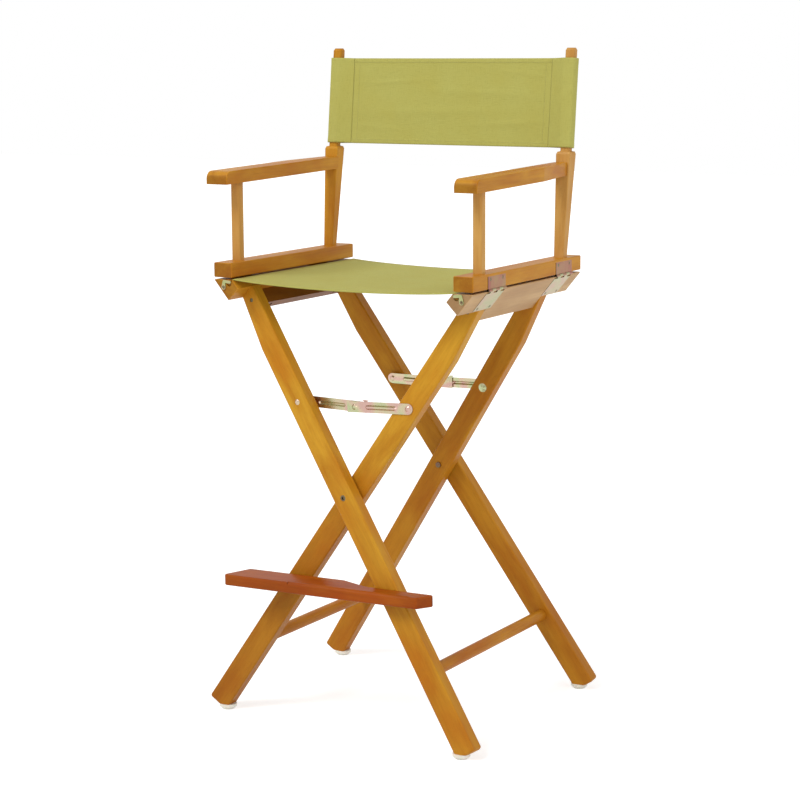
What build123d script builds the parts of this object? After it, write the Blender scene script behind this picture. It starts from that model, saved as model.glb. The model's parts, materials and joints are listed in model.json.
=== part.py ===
from build123d import *
import math
import os

# A tall folding directors chair. Two flat frames cross in an X and fold on one pivot axis.
# X runs across the seat, -Y is the front, Z is up. Lengths are millimetres, angles are degrees.
# Everything is drawn about the pivot's own centre line and moved to the box centre at the end.

# The crossing frames
pivot_height = 407.0
seat_height = 767.0
leg_angle = 33.2
leg_splay = 5.2
frame_depth = 192.3
leg_gap = 5.0

# Legs
leg_width = 40.0
leg_thickness = 25.4
leg_past_floor = 1.25
leg_taper_run = 96.9
leg_edge_radius = 3.0
foot_corner_radius = 5.0

# Seat rails and the aprons under them
rail_past_legs = 5.9
rail_overhang = 16.4
rail_top_width = 36.0
rail_inner_run = 12.0
rail_inner_drop = 14.0
rail_face_run = 27.5
rail_face_drop = 35.0
rail_lip = 2.0
apron_drop = 27.0
apron_thickness = 16.5
apron_screw_inset = 88.9
apron_screw_sink = 4.0
apron_screw_length = 35.0

# Stretchers and glides
stretcher_below = 327.0
stretcher_diameter = 21.5
stretcher_socket = 12.0
glide_diameter = 30.0
glide_height = 9.5
glide_sole_diameter = 20.0
glide_nail_diameter = 3.0
glide_nail_length = 16.0
glide_from_axis = -15.0

# Arms
arm_gap = 3.6
arm_rail_width = 36.7
arm_rail_height = 25.4
arm_edge_radius = 2.0
front_post_inset = 50.8
front_post_offset = 2.1
front_post_width = 17.0
front_post_corner = 4.0
armrest_rise = 164.0
armrest_thickness = 22.4
armrest_width = 42.5
armrest_offset = 9.4
armrest_nose = 3.7
armrest_slope = 1.3
armrest_taper_start = 35.0
armrest_taper_width = 25.6
armrest_nose_radius = 14.0
armrest_edge_radius = 1.5
tenon_width = 10.0
tenon_length = 11.0

# Back posts
back_post_offset = 1.9
back_post_inset = 48.5
back_post_rake = 6.2
back_post_foot_width = 18.5
back_post_foot_depth = 16.0
back_post_shoulder_width = 27.0
back_post_shoulder_depth = 25.5
back_post_shoulder_rise = 207.0
back_post_ease_rise = 4.0
back_post_ease = 3.0
back_post_ledge_rise = 1.0
back_post_neck = 17.5
back_post_neck_corner = 5.0
back_post_rise = 389.0
back_post_point = 4.0
back_post_corner = 2.0

# Hinges between the seat rails and the arms
hinge_length = 60.5
hinge_front_inset = 51.8
hinge_rear_inset = 37.0
leaf_thickness = 1.6
leaf_height = 22.7
leaf_drop = 42.0
knuckle_radius = 2.3
knuckle_count = 5
knuckle_gap = 0.3
hinge_pin_radius = 1.1
leaf_screw_inset = 9.0
leaf_screw_edge = 5.0
saw_line = 2.0
saw_depth = 2.5

# Screws
screw_head_radius = 3.2
screw_head_depth = 1.5
screw_shank_radius = 1.5
screw_length = 11.0

# Pivot bolts
bolt_radius = 3.0
bolt_head_radius = 5.0
bolt_head_height = 2.6
bolt_nut_radius = 5.2
bolt_nut_height = 5.0
spacer_radius = 9.0

# Folding lock braces
brace_above = 185.0
brace_dip = 3.2
link_thickness = 1.6
link_width = 18.6
link_gap = 3.2
link_overlap = 14.0
link_rib_width = 8.0
link_rib_height = 2.4
link_rib_inset = 21.0
rivet_radius = 2.6
rivet_head_radius = 5.0
rivet_head_height = 2.0
brace_washer_radius = 8.0
brace_washer_height = 1.8
bush_radius = 6.0
stop_lip_start = 16.0
stop_lip_length = 6.5

# Rail bolts
rail_bolt_radius = 2.5
rail_bolt_below = 12.0
rail_bolt_above = 11.0
barrel_nut_radius = 3.6
barrel_nut_length = 18.0
barrel_nut_depth = 1.5

# Footrest
footrest_left = 218.0
footrest_right = 189.5
footrest_end_slant = 20.5
footrest_thickness = 19.5
footrest_top = 263.0
footrest_tilt = 1.1
footrest_forward = 47.7
footrest_deep = 55.5
footrest_shallow = 31.5
footrest_step_start = 3.0
footrest_step_end = 58.0
footrest_corner_radius = 5.0
footrest_step_radius = 14.0
footrest_edge_radius = 2.5
footrest_roll_left = 84.0
footrest_roll_right = 154.0
footrest_roll = 6.0
footrest_screw_radius = 2.0
footrest_screw_head = 4.0
footrest_screw_spacing = 22.0
footrest_screw_bite = 20.0
support_pin_radius = 4.0
support_pin_reach = 24.0
support_pin_socket = 14.0

# Seat sling and back sling
cloth = 1.6
seat_end_inset = 3.5
seat_sag = 7.0
seat_dowel_radius = 3.0
groove_inset = 6.6
back_cloth = 1.2
back_bottom_rise = 217.5
back_top_rise = 371.0
back_sleeve_reach = 12.8
back_sleeve_seam = 35.0
back_sleeve_corner = 2.2

# Seat clips
clip_screw_inset = 19.0
clip_screw_drop = 13.0
clip_eye_radius = 4.2
clip_tip_radius = 2.5
clip_thickness = 1.5

# Fits, and small roundings as shares of a size
clearance = 0.3
loose_fit = 0.2
bore_clearance = 0.1
overrun = 40.0
rim_share = 0.33
glide_rim_share = 0.125
pin_end_share = 0.25

half_turn = 180.0
rail_top_z = seat_height
splay_slope = math.tan(math.radians(leg_splay))
lean_slope = math.tan(math.radians(leg_angle))
lean_sine = math.sin(math.radians(leg_angle))
lean_cosine = math.cos(math.radians(leg_angle))
leg_depth = leg_thickness / math.cos(math.radians(leg_splay))
leg_below = (pivot_height - glide_height) / lean_cosine + leg_past_floor
inner_frame_depth = frame_depth - leg_depth - leg_gap
rail_half_length = frame_depth + rail_past_legs
footrest_front = frame_depth + footrest_forward
seat_half_depth = rail_half_length - seat_end_inset
armrest_height = seat_height + armrest_rise
back_post_shoulder_height = seat_height + back_post_shoulder_rise
back_post_top = seat_height + back_post_rise
back_bottom = seat_height + back_bottom_rise
back_top = seat_height + back_top_rise


def to_right(shape):
    return mirror(shape, about=Plane.YZ)


def to_rear(shape):
    return mirror(shape, about=Plane.XZ)


def both_ends(shape):
    return [shape, to_rear(shape)]


def lean():
    """The flat frame's place: its rail leans to the left and its feet stand at the right."""
    return Pos(0, 0, pivot_height) * Rot(0, -leg_angle, 0)


def on_leg(depth):
    """A front leg's place: y is zero on its outer face, z runs up along the leg."""
    return lean() * Pos(0, -depth, 0) * Rot(-leg_splay, 0, 0)


def axis_point(above):
    """Where the frame's centre line is, at a distance above the pivot."""
    return -above * lean_sine, pivot_height + above * lean_cosine


def to_frame(x, z):
    """World x and z as across and along the leaning frame."""
    rise = z - pivot_height
    return x * lean_cosine + rise * lean_sine, rise * lean_cosine - x * lean_sine


def prism(points, y_front, y_back):
    """An outline in x and z, drawn out along y."""
    face = make_face(Polyline(*[(x, y_front, z) for x, z in points], close=True))
    return extrude(face, amount=y_back - y_front, dir=(0, 1, 0))


def peg(radius, start, end, x=0, z=0):
    """A round bar along y."""
    bar = Cylinder(radius, end - start, align=(Align.CENTER, Align.CENTER, Align.MIN))
    return Pos(x, start, z) * Rot(-half_turn / 2, 0, 0) * bar


def turned(points):
    """A turned piece from an outline of radius and height."""
    face = make_face(Polyline(*[(radius, 0, z) for radius, z in points], close=True))
    return revolve(face, axis=Axis.Z)


def wood_screw(radius, head_radius, head_depth, length):
    """A countersunk screw that points down, its head flush at zero."""
    return turned([(0, 0), (head_radius, 0), (radius, -head_depth), (radius, radius - length), (0, -length)])


# The seat rail's section, left side, in world x and z
rail_outer_x = -lean_slope * (seat_height - pivot_height) - rail_overhang
rail_inner_top = (rail_outer_x + rail_top_width, rail_top_z)
rail_foot = (rail_outer_x + rail_face_run, rail_top_z - rail_face_drop)
rail_inner_low = (rail_inner_top[0] + rail_inner_run, rail_top_z - rail_inner_drop)
rail_face_top = (rail_outer_x, rail_top_z - rail_lip)
face_length = math.hypot(rail_face_run, rail_face_drop - rail_lip)
face_down = (rail_face_run / face_length, (rail_lip - rail_face_drop) / face_length)
face_in = (-face_down[1], face_down[0])
groove_centre = (rail_inner_top[0] - groove_inset, rail_top_z - groove_inset)
groove_radius = seat_dowel_radius + cloth + loose_fit
sling_edge = (rail_inner_top[0], rail_top_z + clearance + cloth / 2)
hinge_x = rail_outer_x - leaf_thickness
hinge_z = rail_top_z + arm_gap / 2
arm_bottom = rail_top_z + arm_gap
arm_top = arm_bottom + arm_rail_height


def face_place(down, inward=0):
    """A place on the rail's slanted face: down the slope, then into the wood."""
    x = rail_face_top[0] + face_down[0] * down + face_in[0] * inward
    return x, rail_face_top[1] + face_down[1] * down + face_in[1] * inward


def neck_band(half, past):
    """The straight band from the groove's centre out over the rail's inner corner."""
    run = sling_edge[0] - groove_centre[0]
    rise = sling_edge[1] - groove_centre[1]
    length = math.hypot(run, rise)
    side = (-rise / length * half, run / length * half)
    end = (sling_edge[0] + run / length * past, sling_edge[1] + rise / length * past)
    return [
        (groove_centre[0] + side[0], groove_centre[1] + side[1]),
        (groove_centre[0] - side[0], groove_centre[1] - side[1]),
        (end[0] - side[0], end[1] - side[1]),
        (end[0] + side[0], end[1] + side[1]),
    ]


def leg_blank():
    """One leg with its foot square; above the taper it narrows to the rail's foot."""
    foot_across, foot_along = to_frame(*rail_foot)
    half = leg_width / 2
    top = foot_along / math.cos(math.radians(leg_splay)) + overrun
    taper = (foot_across + half) / leg_taper_run
    taper_start = foot_along - leg_taper_run
    outline = [
        (-half, -leg_below),
        (half, -leg_below),
        (half, top),
        (taper * (top - taper_start) - half, top),
        (-half, taper_start),
    ]
    blank = prism(outline, 0, leg_thickness)
    long_edges = [edge for edge in blank.edges() if edge.length > leg_width * 2]
    blank = fillet(long_edges, leg_edge_radius)
    toe = blank.edges().filter_by(Axis.Y).sort_by(Axis.Z)[:2].sort_by(Axis.X)[-1]
    return fillet(toe, foot_corner_radius)


def above_rail_foot():
    """Everything above the plane of the rail's underside."""
    run = rail_inner_low[0] - rail_foot[0]
    rise = rail_inner_low[1] - rail_foot[1]
    reach = leg_width / math.hypot(run, rise) * 2
    left = (rail_foot[0] - run * reach, rail_foot[1] - rise * reach)
    right = (rail_foot[0] + run * reach, rail_foot[1] + rise * reach)
    top = seat_height + leg_width * 2
    return prism([left, right, (right[0], top), (left[0], top)], -frame_depth, frame_depth)


def stretcher(depth):
    half = depth - leg_depth + splay_slope * stretcher_below + stretcher_socket
    return lean() * peg(stretcher_diameter / 2, -half, half, z=-stretcher_below)


def stretcher_hole(depth):
    half = depth - leg_depth + splay_slope * stretcher_below + stretcher_socket + clearance
    return lean() * peg(stretcher_diameter / 2 + bore_clearance, -half, half, z=-stretcher_below)


def glide_place(depth):
    """The middle of the foot's flat underside."""
    along = (pivot_height - glide_height) / lean_cosine
    x = along * lean_sine + glide_from_axis
    return Pos(x, leg_depth / 2 - depth - splay_slope * along, 0)


def glide(depth):
    outline = [
        (0, 0),
        (glide_sole_diameter / 2, 0),
        (glide_diameter / 2, glide_height / 2),
        (glide_diameter / 2, glide_height),
        (glide_nail_diameter / 2, glide_height),
        (glide_nail_diameter / 2, glide_height + glide_nail_length),
        (0, glide_height + glide_nail_length),
    ]
    disc = turned(outline)
    rims = disc.edges().filter_by(GeomType.CIRCLE).filter_by_position(Axis.Z, 0, glide_height / 2)
    return glide_place(depth) * fillet(rims, glide_height * glide_rim_share)


def glide_hole(depth):
    hole = Cylinder(
        glide_nail_diameter / 2 + bore_clearance,
        glide_nail_length + clearance,
        align=(Align.CENTER, Align.CENTER, Align.MIN),
    )
    return glide_place(depth) * Pos(0, 0, glide_height) * hole


def floor_waste():
    """All that lies under the feet's flat soles."""
    side = (pivot_height + frame_depth) * 2
    return Pos(0, 0, glide_height) * Box(side, side, side, align=(Align.CENTER, Align.CENTER, Align.MAX))


# Pivot bolts run along the fold axis, through the inner leg, a spacer and the outer leg
bolt_head_seat = inner_frame_depth - leg_depth - bolt_head_radius * splay_slope - loose_fit
nut_seat = frame_depth - bolt_nut_height - bolt_nut_radius * splay_slope


def pivot_bolt():
    shank = peg(bolt_radius, -nut_seat - bolt_nut_height / 2, -bolt_head_seat, z=pivot_height)
    head = peg(bolt_head_radius, -bolt_head_seat, bolt_head_height - bolt_head_seat, z=pivot_height)
    rim = head.edges().filter_by(GeomType.CIRCLE).sort_by(Axis.Y)[-1]
    return shank + fillet(rim, bolt_head_height * rim_share)


def pivot_nut():
    nut = peg(bolt_nut_radius, -nut_seat - bolt_nut_height, -nut_seat, z=pivot_height)
    return nut - peg(bolt_radius + bore_clearance, -nut_seat - bolt_nut_height, -nut_seat, z=pivot_height)


def pivot_spacer(leg):
    end = -inner_frame_depth - spacer_radius * splay_slope - bore_clearance
    ring = peg(spacer_radius, end - leg_gap, end, z=pivot_height)
    hole = peg(bolt_radius + bore_clearance, end - leg_gap, end, z=pivot_height)
    return ring - hole - leg


def pivot_bore(depth):
    return peg(bolt_radius + bore_clearance, -depth - overrun, overrun - depth, z=pivot_height)


# Brace links: their pins stand square to the legs' faces
pin_x, pin_z = axis_point(brace_above * math.cos(math.radians(leg_splay)))
outer_link_seat = leg_thickness + leg_gap * math.cos(math.radians(leg_splay)) - clearance + link_gap
inner_link_seat = -clearance - link_thickness
face_normal = Vector(
    math.sin(math.radians(leg_splay)) * lean_sine,
    math.cos(math.radians(leg_splay)),
    -math.sin(math.radians(leg_splay)) * lean_cosine,
)


def link_plane(depth, seat):
    """The link's own plane at its pin: x runs to the middle joint, z into the chair."""
    y = splay_slope * brace_above * math.cos(math.radians(leg_splay)) - depth
    pin = Vector(pin_x, y, pin_z) + face_normal * seat
    run = Vector(-pin.X, 0, pin_z - brace_dip - pin.Z)
    slant = -(run.X * face_normal.X + run.Z * face_normal.Z) / face_normal.Y
    return Plane(origin=pin, x_dir=(run.X, slant, run.Z), z_dir=face_normal), math.hypot(run.X, slant, run.Z)


def rib(length, width, height):
    """A pressed rib with sloping sides, along x."""
    foot = SlotOverall(length, width)
    crown = Pos(0, 0, height) * SlotOverall(length - height * 2, width - height * 2)
    return loft([foot.face(), crown.face()])


def link(length, raised, tail):
    """A link in its own plane; its rib is raised to that side of the strip."""
    radius = link_width / 2
    strip = Circle(radius) + Pos(length / 2, 0) * Rectangle(length, link_width)
    strip += Pos(length + tail / 2, 0) * Rectangle(tail, link_width)
    strip -= Circle(rivet_radius + loose_fit)
    body = extrude(strip, link_thickness)
    corners = body.edges().filter_by(Axis.Z).sort_by(Axis.X)[-2:]
    body = fillet(corners, link_thickness)
    long = length - link_rib_inset * 2
    wide = link_rib_width - link_thickness
    crest = rib(long, link_rib_width, link_rib_height)
    trough = rib(long - link_thickness, wide, link_rib_height)
    middle = Pos(length / 2, 0, link_thickness if raised > 0 else 0)
    dent = Pos(length / 2, 0, 0 if raised > 0 else link_thickness)
    if raised < 0:
        middle = middle * Rot(half_turn, 0, 0)
        dent = dent * Rot(half_turn, 0, 0)
    return body + middle * crest - dent * trough


def outer_link():
    """Carried by the outer front leg, behind the other link; a stop lip bends over that one's top."""
    plane, length = link_plane(frame_depth, outer_link_seat)
    tail = stop_lip_start + stop_lip_length
    body = link(length, 1, tail)
    body -= Pos(length, 0) * Cylinder(rivet_radius + bore_clearance, overrun)
    rise = clearance + brace_dip * 2 / length * tail + link_thickness
    riser = Box(
        stop_lip_length,
        rise + link_thickness,
        link_thickness,
        align=(Align.MIN, Align.MIN, Align.MIN),
    )
    lip = Box(
        stop_lip_length,
        link_thickness,
        link_gap + link_thickness * 2,
        align=(Align.MIN, Align.MIN, Align.MAX),
    )
    corner = Pos(length + stop_lip_start, -link_width / 2 - rise)
    body += corner * riser + corner * Pos(0, 0, link_thickness) * lip
    return plane * body


def inner_link():
    """Carried by the inner front leg, in front; its half of the middle rivet is riveted in."""
    plane, length = link_plane(inner_frame_depth, inner_link_seat)
    body = link(length, -1, link_overlap)
    head = turned([
        (0, -rivet_head_height),
        (rivet_radius, -rivet_head_height),
        (rivet_head_radius, 0),
        (rivet_head_radius, link_thickness / 2),
        (rivet_radius, link_thickness / 2),
        (rivet_radius, link_thickness + link_gap * rim_share),
        (0, link_thickness + link_gap * rim_share),
    ])
    return plane * (body + Pos(length, 0) * head)


def middle_rivet():
    """The half of the middle rivet that stays in the outer link."""
    plane, length = link_plane(frame_depth, outer_link_seat)
    top = link_thickness + rivet_head_height
    stem = turned([
        (0, -link_gap * rim_share),
        (rivet_radius, -link_gap * rim_share),
        (rivet_radius, link_thickness),
        (rivet_head_radius, link_thickness),
        (rivet_radius, top),
        (0, top),
    ])
    return plane * Pos(length, 0) * stem


def leg_pin(points):
    """A turned pin through a leg at the brace's height; height zero is the outer face."""
    return Pos(0, 0, brace_above) * Rot(-half_turn / 2, 0, 0) * turned(points)


def outer_brace_pin():
    """Head on the leg's front, a bush behind it, then the link and a riveted head."""
    seat = outer_link_seat
    head = seat + link_thickness + bore_clearance
    points = [
        (0, -rivet_head_height),
        (rivet_radius, -rivet_head_height),
        (rivet_head_radius, 0),
        (rivet_radius, 0),
        (rivet_radius, leg_thickness),
        (bush_radius, leg_thickness),
        (bush_radius, seat - bore_clearance),
        (rivet_radius, seat - bore_clearance),
        (rivet_radius, head),
        (rivet_head_radius, head),
        (rivet_radius, head + rivet_head_height),
        (0, head + rivet_head_height),
    ]
    return on_leg(frame_depth) * leg_pin(points)


def inner_brace_pin():
    """A low head over the link at the front and a broad washer behind the leg."""
    front = inner_link_seat - bore_clearance
    points = [
        (0, front - link_thickness),
        (rivet_radius, front - link_thickness),
        (rivet_head_radius, front),
        (rivet_radius, front),
        (rivet_radius, leg_thickness),
        (brace_washer_radius, leg_thickness),
        (rivet_radius, leg_thickness + brace_washer_height),
        (0, leg_thickness + brace_washer_height),
    ]
    return on_leg(inner_frame_depth) * leg_pin(points)


def brace_bore(depth):
    hole = Cylinder(rivet_radius + bore_clearance, overrun * 2)
    return on_leg(depth) * Pos(0, 0, brace_above) * Rot(-half_turn / 2, 0, 0) * hole


# The double ended bolts that hold each rail down on its legs
rail_foot_across, rail_foot_along = to_frame(*rail_foot)
rail_bolt_across = (rail_foot_across + leg_width / 2) / 2
rail_bolt_seat = to_frame(*rail_inner_low)[1]
barrel_nut_above = rail_foot_along - rail_bolt_below


def rail_bolt(depth, grow=0):
    """Barrel nut across the leg and the bolt up into the rail, one fastening."""
    nut = peg(barrel_nut_radius + grow, barrel_nut_depth - grow * overrun, barrel_nut_length + grow)
    stem = Cylinder(
        rail_bolt_radius + grow,
        rail_bolt_seat + rail_bolt_above + grow - barrel_nut_above,
        align=(Align.CENTER, Align.CENTER, Align.MIN),
    )
    both = nut + Pos(0, leg_thickness / 2, 0) * stem
    return on_leg(depth) * Pos(rail_bolt_across, 0, barrel_nut_above) * both


def leg(depth):
    """A front leg with all the holes that both legs of its frame have."""
    body = on_leg(depth) * leg_blank() - above_rail_foot() - floor_waste()
    body -= stretcher_hole(depth)
    body -= glide_hole(depth)
    body -= pivot_bore(depth)
    body -= brace_bore(depth)
    return body - rail_bolt(depth, bore_clearance)


def outer_leg():
    nut = peg(bolt_nut_radius + bore_clearance, -nut_seat - overrun, -nut_seat, z=pivot_height)
    return leg(frame_depth) - nut


# Hinges, left side. The pin lies in the gap between the rail and the arm
hinge_middles = (
    hinge_front_inset + hinge_length / 2 - rail_half_length,
    rail_half_length - hinge_rear_inset - hinge_length / 2,
)
knuckle_pitch = (hinge_length + knuckle_gap) / knuckle_count
knuckle_room = knuckle_radius + clearance


def knuckles(middle, first, tongue):
    """Every second knuckle of a hinge, each with the tongue that joins it to its leaf."""
    pieces = []
    for index in range(first, knuckle_count, 2):
        start = middle - hinge_length / 2 + knuckle_pitch * index
        end = start + knuckle_pitch - knuckle_gap
        pieces.append(peg(knuckle_radius, start, end, hinge_x, hinge_z) + prism(tongue, start, end))
    return pieces


def hinge_hole(middle):
    start = middle - hinge_length / 2 - overrun
    return peg(hinge_pin_radius + bore_clearance, start, start + hinge_length + overrun * 2, hinge_x, hinge_z)


def knuckle_cut(middle):
    start = middle - hinge_length / 2 - clearance
    return peg(knuckle_room, start, start + hinge_length + clearance * 2, hinge_x, hinge_z)


def upper_leaf(middle):
    top = arm_bottom + leaf_height - leaf_thickness
    front = middle - hinge_length / 2
    low = hinge_z + knuckle_room
    flat = [(hinge_x, low), (hinge_x, top), (rail_outer_x, top), (rail_outer_x, low)]
    plate = prism(flat, front, front + hinge_length)
    tongue = [(hinge_x, hinge_z), (hinge_x, low), (rail_outer_x, low), (rail_outer_x, hinge_z)]
    for piece in knuckles(middle, 0, tongue):
        plate += piece
    plate -= hinge_hole(middle)
    for x, y, z in upper_screw_places(middle):
        plate -= Pos(x, y, z) * Rot(0, -half_turn / 2, 0) * screw_hole()
    return plate


def lower_leaf(middle):
    front = middle - hinge_length / 2
    outer = [face_place(knuckle_room), face_place(leaf_drop)]
    inner = [face_place(leaf_drop, leaf_thickness), face_place(knuckle_room, leaf_thickness)]
    leaf = prism(outer + inner, front, front + hinge_length)
    tongue = [(hinge_x, hinge_z), outer[0], inner[1]]
    for piece in knuckles(middle, 1, tongue):
        leaf += piece
    leaf -= hinge_hole(middle)
    for x, y, z in lower_screw_places(middle):
        leaf -= Pos(x, y, z) * Rot(0, face_screw_turn, 0) * screw_hole()
    return leaf


def hinge_pin(middle):
    bar = peg(hinge_pin_radius, middle - hinge_length / 2, middle + hinge_length / 2, hinge_x, hinge_z)
    return chamfer(bar.edges().filter_by(GeomType.CIRCLE), hinge_pin_radius * pin_end_share)


def screw_hole():
    return wood_screw(
        screw_shank_radius + bore_clearance,
        screw_head_radius + bore_clearance,
        screw_head_depth,
        screw_length + clearance,
    )


def small_screw():
    return wood_screw(screw_shank_radius, screw_head_radius, screw_head_depth, screw_length)


face_screw_turn = math.degrees(math.atan2(-face_in[0], -face_in[1]))


def upper_screw_places(middle):
    z = arm_bottom + leaf_height - leaf_thickness - leaf_screw_edge
    reach = hinge_length / 2 - leaf_screw_inset
    return [(hinge_x, middle + reach * side, z) for side in (-1, 1)]


def lower_screw_places(middle):
    x, z = face_place(leaf_drop - leaf_screw_edge)
    reach = hinge_length / 2 - leaf_screw_inset
    return [(x, middle + reach * side, z) for side in (-1, 1)]


def upper_screws(shape):
    places = [place for middle in hinge_middles for place in upper_screw_places(middle)]
    return [Pos(x, y, z) * Rot(0, -half_turn / 2, 0) * shape for x, y, z in places]


def lower_screws(shape):
    places = [place for middle in hinge_middles for place in lower_screw_places(middle)]
    return [Pos(x, y, z) * Rot(0, face_screw_turn, 0) * shape for x, y, z in places]


def rail_blank():
    outline = [(rail_outer_x, rail_top_z), rail_inner_top, rail_inner_low, rail_foot, rail_face_top]
    return prism(outline, -rail_half_length, rail_half_length)


def leaf_recesses(middle):
    """Where a leaf lies in the wood, and the saw line at the recess's front end: start, end and depth."""
    front = middle - hinge_length / 2
    return (front, front + hinge_length, leaf_thickness), (front - saw_line, front, saw_depth)


def seat_rail(depth):
    rail = rail_blank()
    ends = rail.faces().sort_by(Axis.Y)
    rail = chamfer(ends[0].edges() + ends[-1].edges(), rail_lip * rim_share)
    past = rail_half_length + overrun
    rail -= peg(groove_radius, -past, past, *groove_centre)
    rail -= prism(neck_band(cloth / 2 + clearance, groove_radius), -past, past)
    for middle in hinge_middles:
        for start, end, deep in leaf_recesses(middle):
            recess = [face_place(-knuckle_room, -leaf_thickness), face_place(leaf_drop, -leaf_thickness)]
            recess += [face_place(leaf_drop, deep), face_place(-knuckle_room, deep)]
            rail -= prism(recess, start, end)
        rail -= knuckle_cut(middle)
    for hole in lower_screws(screw_hole()):
        rail -= hole
    for bolt in both_ends(rail_bolt(depth, bore_clearance)):
        rail -= bolt
    for hole in both_ends(clip_screw(bore_clearance)) + apron_screws(depth, bore_clearance):
        rail -= hole
    return rail


def between_legs(depth):
    """The space between the front and rear legs of one frame."""
    inner = depth - leg_depth
    top = (seat_height - pivot_height) / lean_cosine
    points = [
        (leg_width, -inner, 0),
        (leg_width, inner, 0),
        (leg_width, inner - splay_slope * top, top),
        (leg_width, splay_slope * top - inner, top),
    ]
    return lean() * extrude(make_face(Polyline(*points, close=True)), amount=leg_width * 2, dir=(-1, 0, 0))


def apron_blank(depth):
    edge = face_length + apron_drop
    outline = [
        face_place(face_length - apron_drop),
        face_place(edge),
        face_place(edge, apron_thickness),
        face_place(face_length - apron_drop, apron_thickness),
    ]
    board = prism(outline, -depth, depth)
    return board & between_legs(depth)


def apron(depth):
    body = apron_blank(depth) - rail_blank()
    for hole in apron_screws(depth, bore_clearance, apron_screw_sink + overrun):
        body -= hole
    return body


def apron_screws(depth, grow, open_above=0):
    """Two long screws up through the apron into the rail, their heads sunk in its lower edge."""
    x, z = face_place(face_length + apron_drop - apron_screw_sink, apron_thickness / 2)
    head = screw_head_radius + grow
    screw = wood_screw(screw_shank_radius + grow, head, screw_head_depth, apron_screw_length + grow)
    if open_above > 0:
        screw += Cylinder(head, open_above, align=(Align.CENTER, Align.CENTER, Align.MIN))
    turn = math.degrees(math.atan2(face_down[0], face_down[1]))
    reach = depth - apron_screw_inset
    return [Pos(x, reach * side, z) * Rot(0, turn, 0) * screw for side in (-1, 1)]


# Seat clips swivel on one screw in each rail end and keep the seat dowel in its groove
clip_x = rail_outer_x + clip_screw_inset
clip_z = rail_top_z - clip_screw_drop


def clip_screw(grow=0):
    y = -rail_half_length - clip_thickness - bore_clearance
    head = screw_head_radius + grow
    screw = wood_screw(screw_shank_radius + grow, head, screw_head_depth, screw_length + grow)
    return Pos(clip_x, y, clip_z) * Rot(half_turn / 2, 0, 0) * screw


def seat_clip():
    """An eye round the screw and a bent arm that covers the dowel's end."""
    eye = Pos(clip_x, clip_z) * Circle(clip_eye_radius)
    elbow = Pos(clip_x + clip_tip_radius / 2, rail_top_z - clip_tip_radius) * Circle(clip_tip_radius)
    tip_place = Pos(groove_centre[0] + clip_tip_radius, groove_centre[1] + seat_dowel_radius)
    tip = tip_place * Circle(clip_tip_radius)
    plate = make_hull((eye + elbow).edges()) + make_hull((elbow + tip).edges())
    plate -= Pos(clip_x, clip_z) * Circle(screw_shank_radius + bore_clearance)
    flat = Plane(origin=(0, -rail_half_length - bore_clearance, 0), x_dir=(1, 0, 0), z_dir=(0, -1, 0))
    clip = extrude(flat * plate, clip_thickness)
    return clip - clip_screw(bore_clearance)


def seat_dowel():
    half = rail_half_length - clip_thickness
    return peg(seat_dowel_radius, -half, half, *groove_centre)


# Arms, left side
arm_middle_x = hinge_x + arm_rail_width / 2
front_post_y = front_post_inset - rail_half_length
front_post_x = arm_middle_x - front_post_offset
back_post_x = arm_middle_x - back_post_offset
rake_slope = math.tan(math.radians(back_post_rake))


def back_post_y(z):
    return rail_half_length - back_post_inset + rake_slope * (z - arm_top)


def arm_rail():
    block = Box(arm_rail_width, rail_half_length * 2, arm_rail_height)
    block = fillet(block.edges(), arm_edge_radius)
    rail = Pos(arm_middle_x, 0, arm_bottom + arm_rail_height / 2) * block
    outer = hinge_x - overrun
    top = arm_bottom + leaf_height - leaf_thickness
    low = arm_bottom - overrun
    for middle in hinge_middles:
        for start, end, deep in leaf_recesses(middle):
            inner = hinge_x + deep
            rail -= prism([(outer, low), (outer, top), (inner, top), (inner, low)], start, end)
        rail -= knuckle_cut(middle)
    for hole in upper_screws(screw_hole()):
        rail -= hole
    for x, y in ((front_post_x, front_post_y), (back_post_x, back_post_y(arm_top))):
        rail -= tenon(x, y, arm_top - tenon_length, tenon_length + overrun, bore_clearance)
    return rail


def tenon(x, y, bottom, length, grow=0):
    width = tenon_width + grow * 2
    block = Box(width, width, length + grow, align=(Align.CENTER, Align.CENTER, Align.MIN))
    return Pos(x, y, bottom - grow) * block


def armrest_place():
    """The armrest's underside at its front end, tipped up to the rear."""
    return Pos(arm_middle_x, front_post_y, armrest_height) * Rot(armrest_slope, 0, 0)


def armrest_blank():
    """The whole board, past the back post; its nose is rounded over and its edges are eased."""
    outer = -arm_rail_width / 2 - armrest_offset
    inner = outer + armrest_width
    front = -rail_half_length - armrest_nose - front_post_y
    back = rail_half_length * 2
    taper_end = back_post_y(armrest_height) - back_post_foot_depth / 2 - front_post_y
    outline = [
        (outer, front),
        (inner, front),
        (inner, back),
        (inner - armrest_taper_width, back),
        (inner - armrest_taper_width, taper_end),
        (outer, armrest_taper_start - front_post_y),
    ]
    face = make_face(Polyline(*outline, close=True))
    board = extrude(face, armrest_thickness)
    top = board.faces().sort_by(Axis.Z)[-1]
    nose = top.edges().filter_by(Axis.X).sort_by(Axis.Y)[0]
    board = fillet(nose, armrest_nose_radius)
    corners = board.edges().filter_by(Axis.Z).sort_by(Axis.Y)[:2]
    return armrest_place() * fillet(corners, armrest_edge_radius)


def behind_back_post():
    """Everything behind the plane of the back post's front face."""
    high = back_post_shoulder_height
    back = rail_half_length * 2
    points = [
        (0, back_post_y(arm_top) - back_post_foot_depth / 2, arm_top),
        (0, back, arm_top),
        (0, back, high),
        (0, back_post_y(high) - back_post_shoulder_depth / 2, high),
    ]
    return extrude(make_face(Polyline(*points, close=True)), amount=back, dir=(-1, 0, 0))


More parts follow.
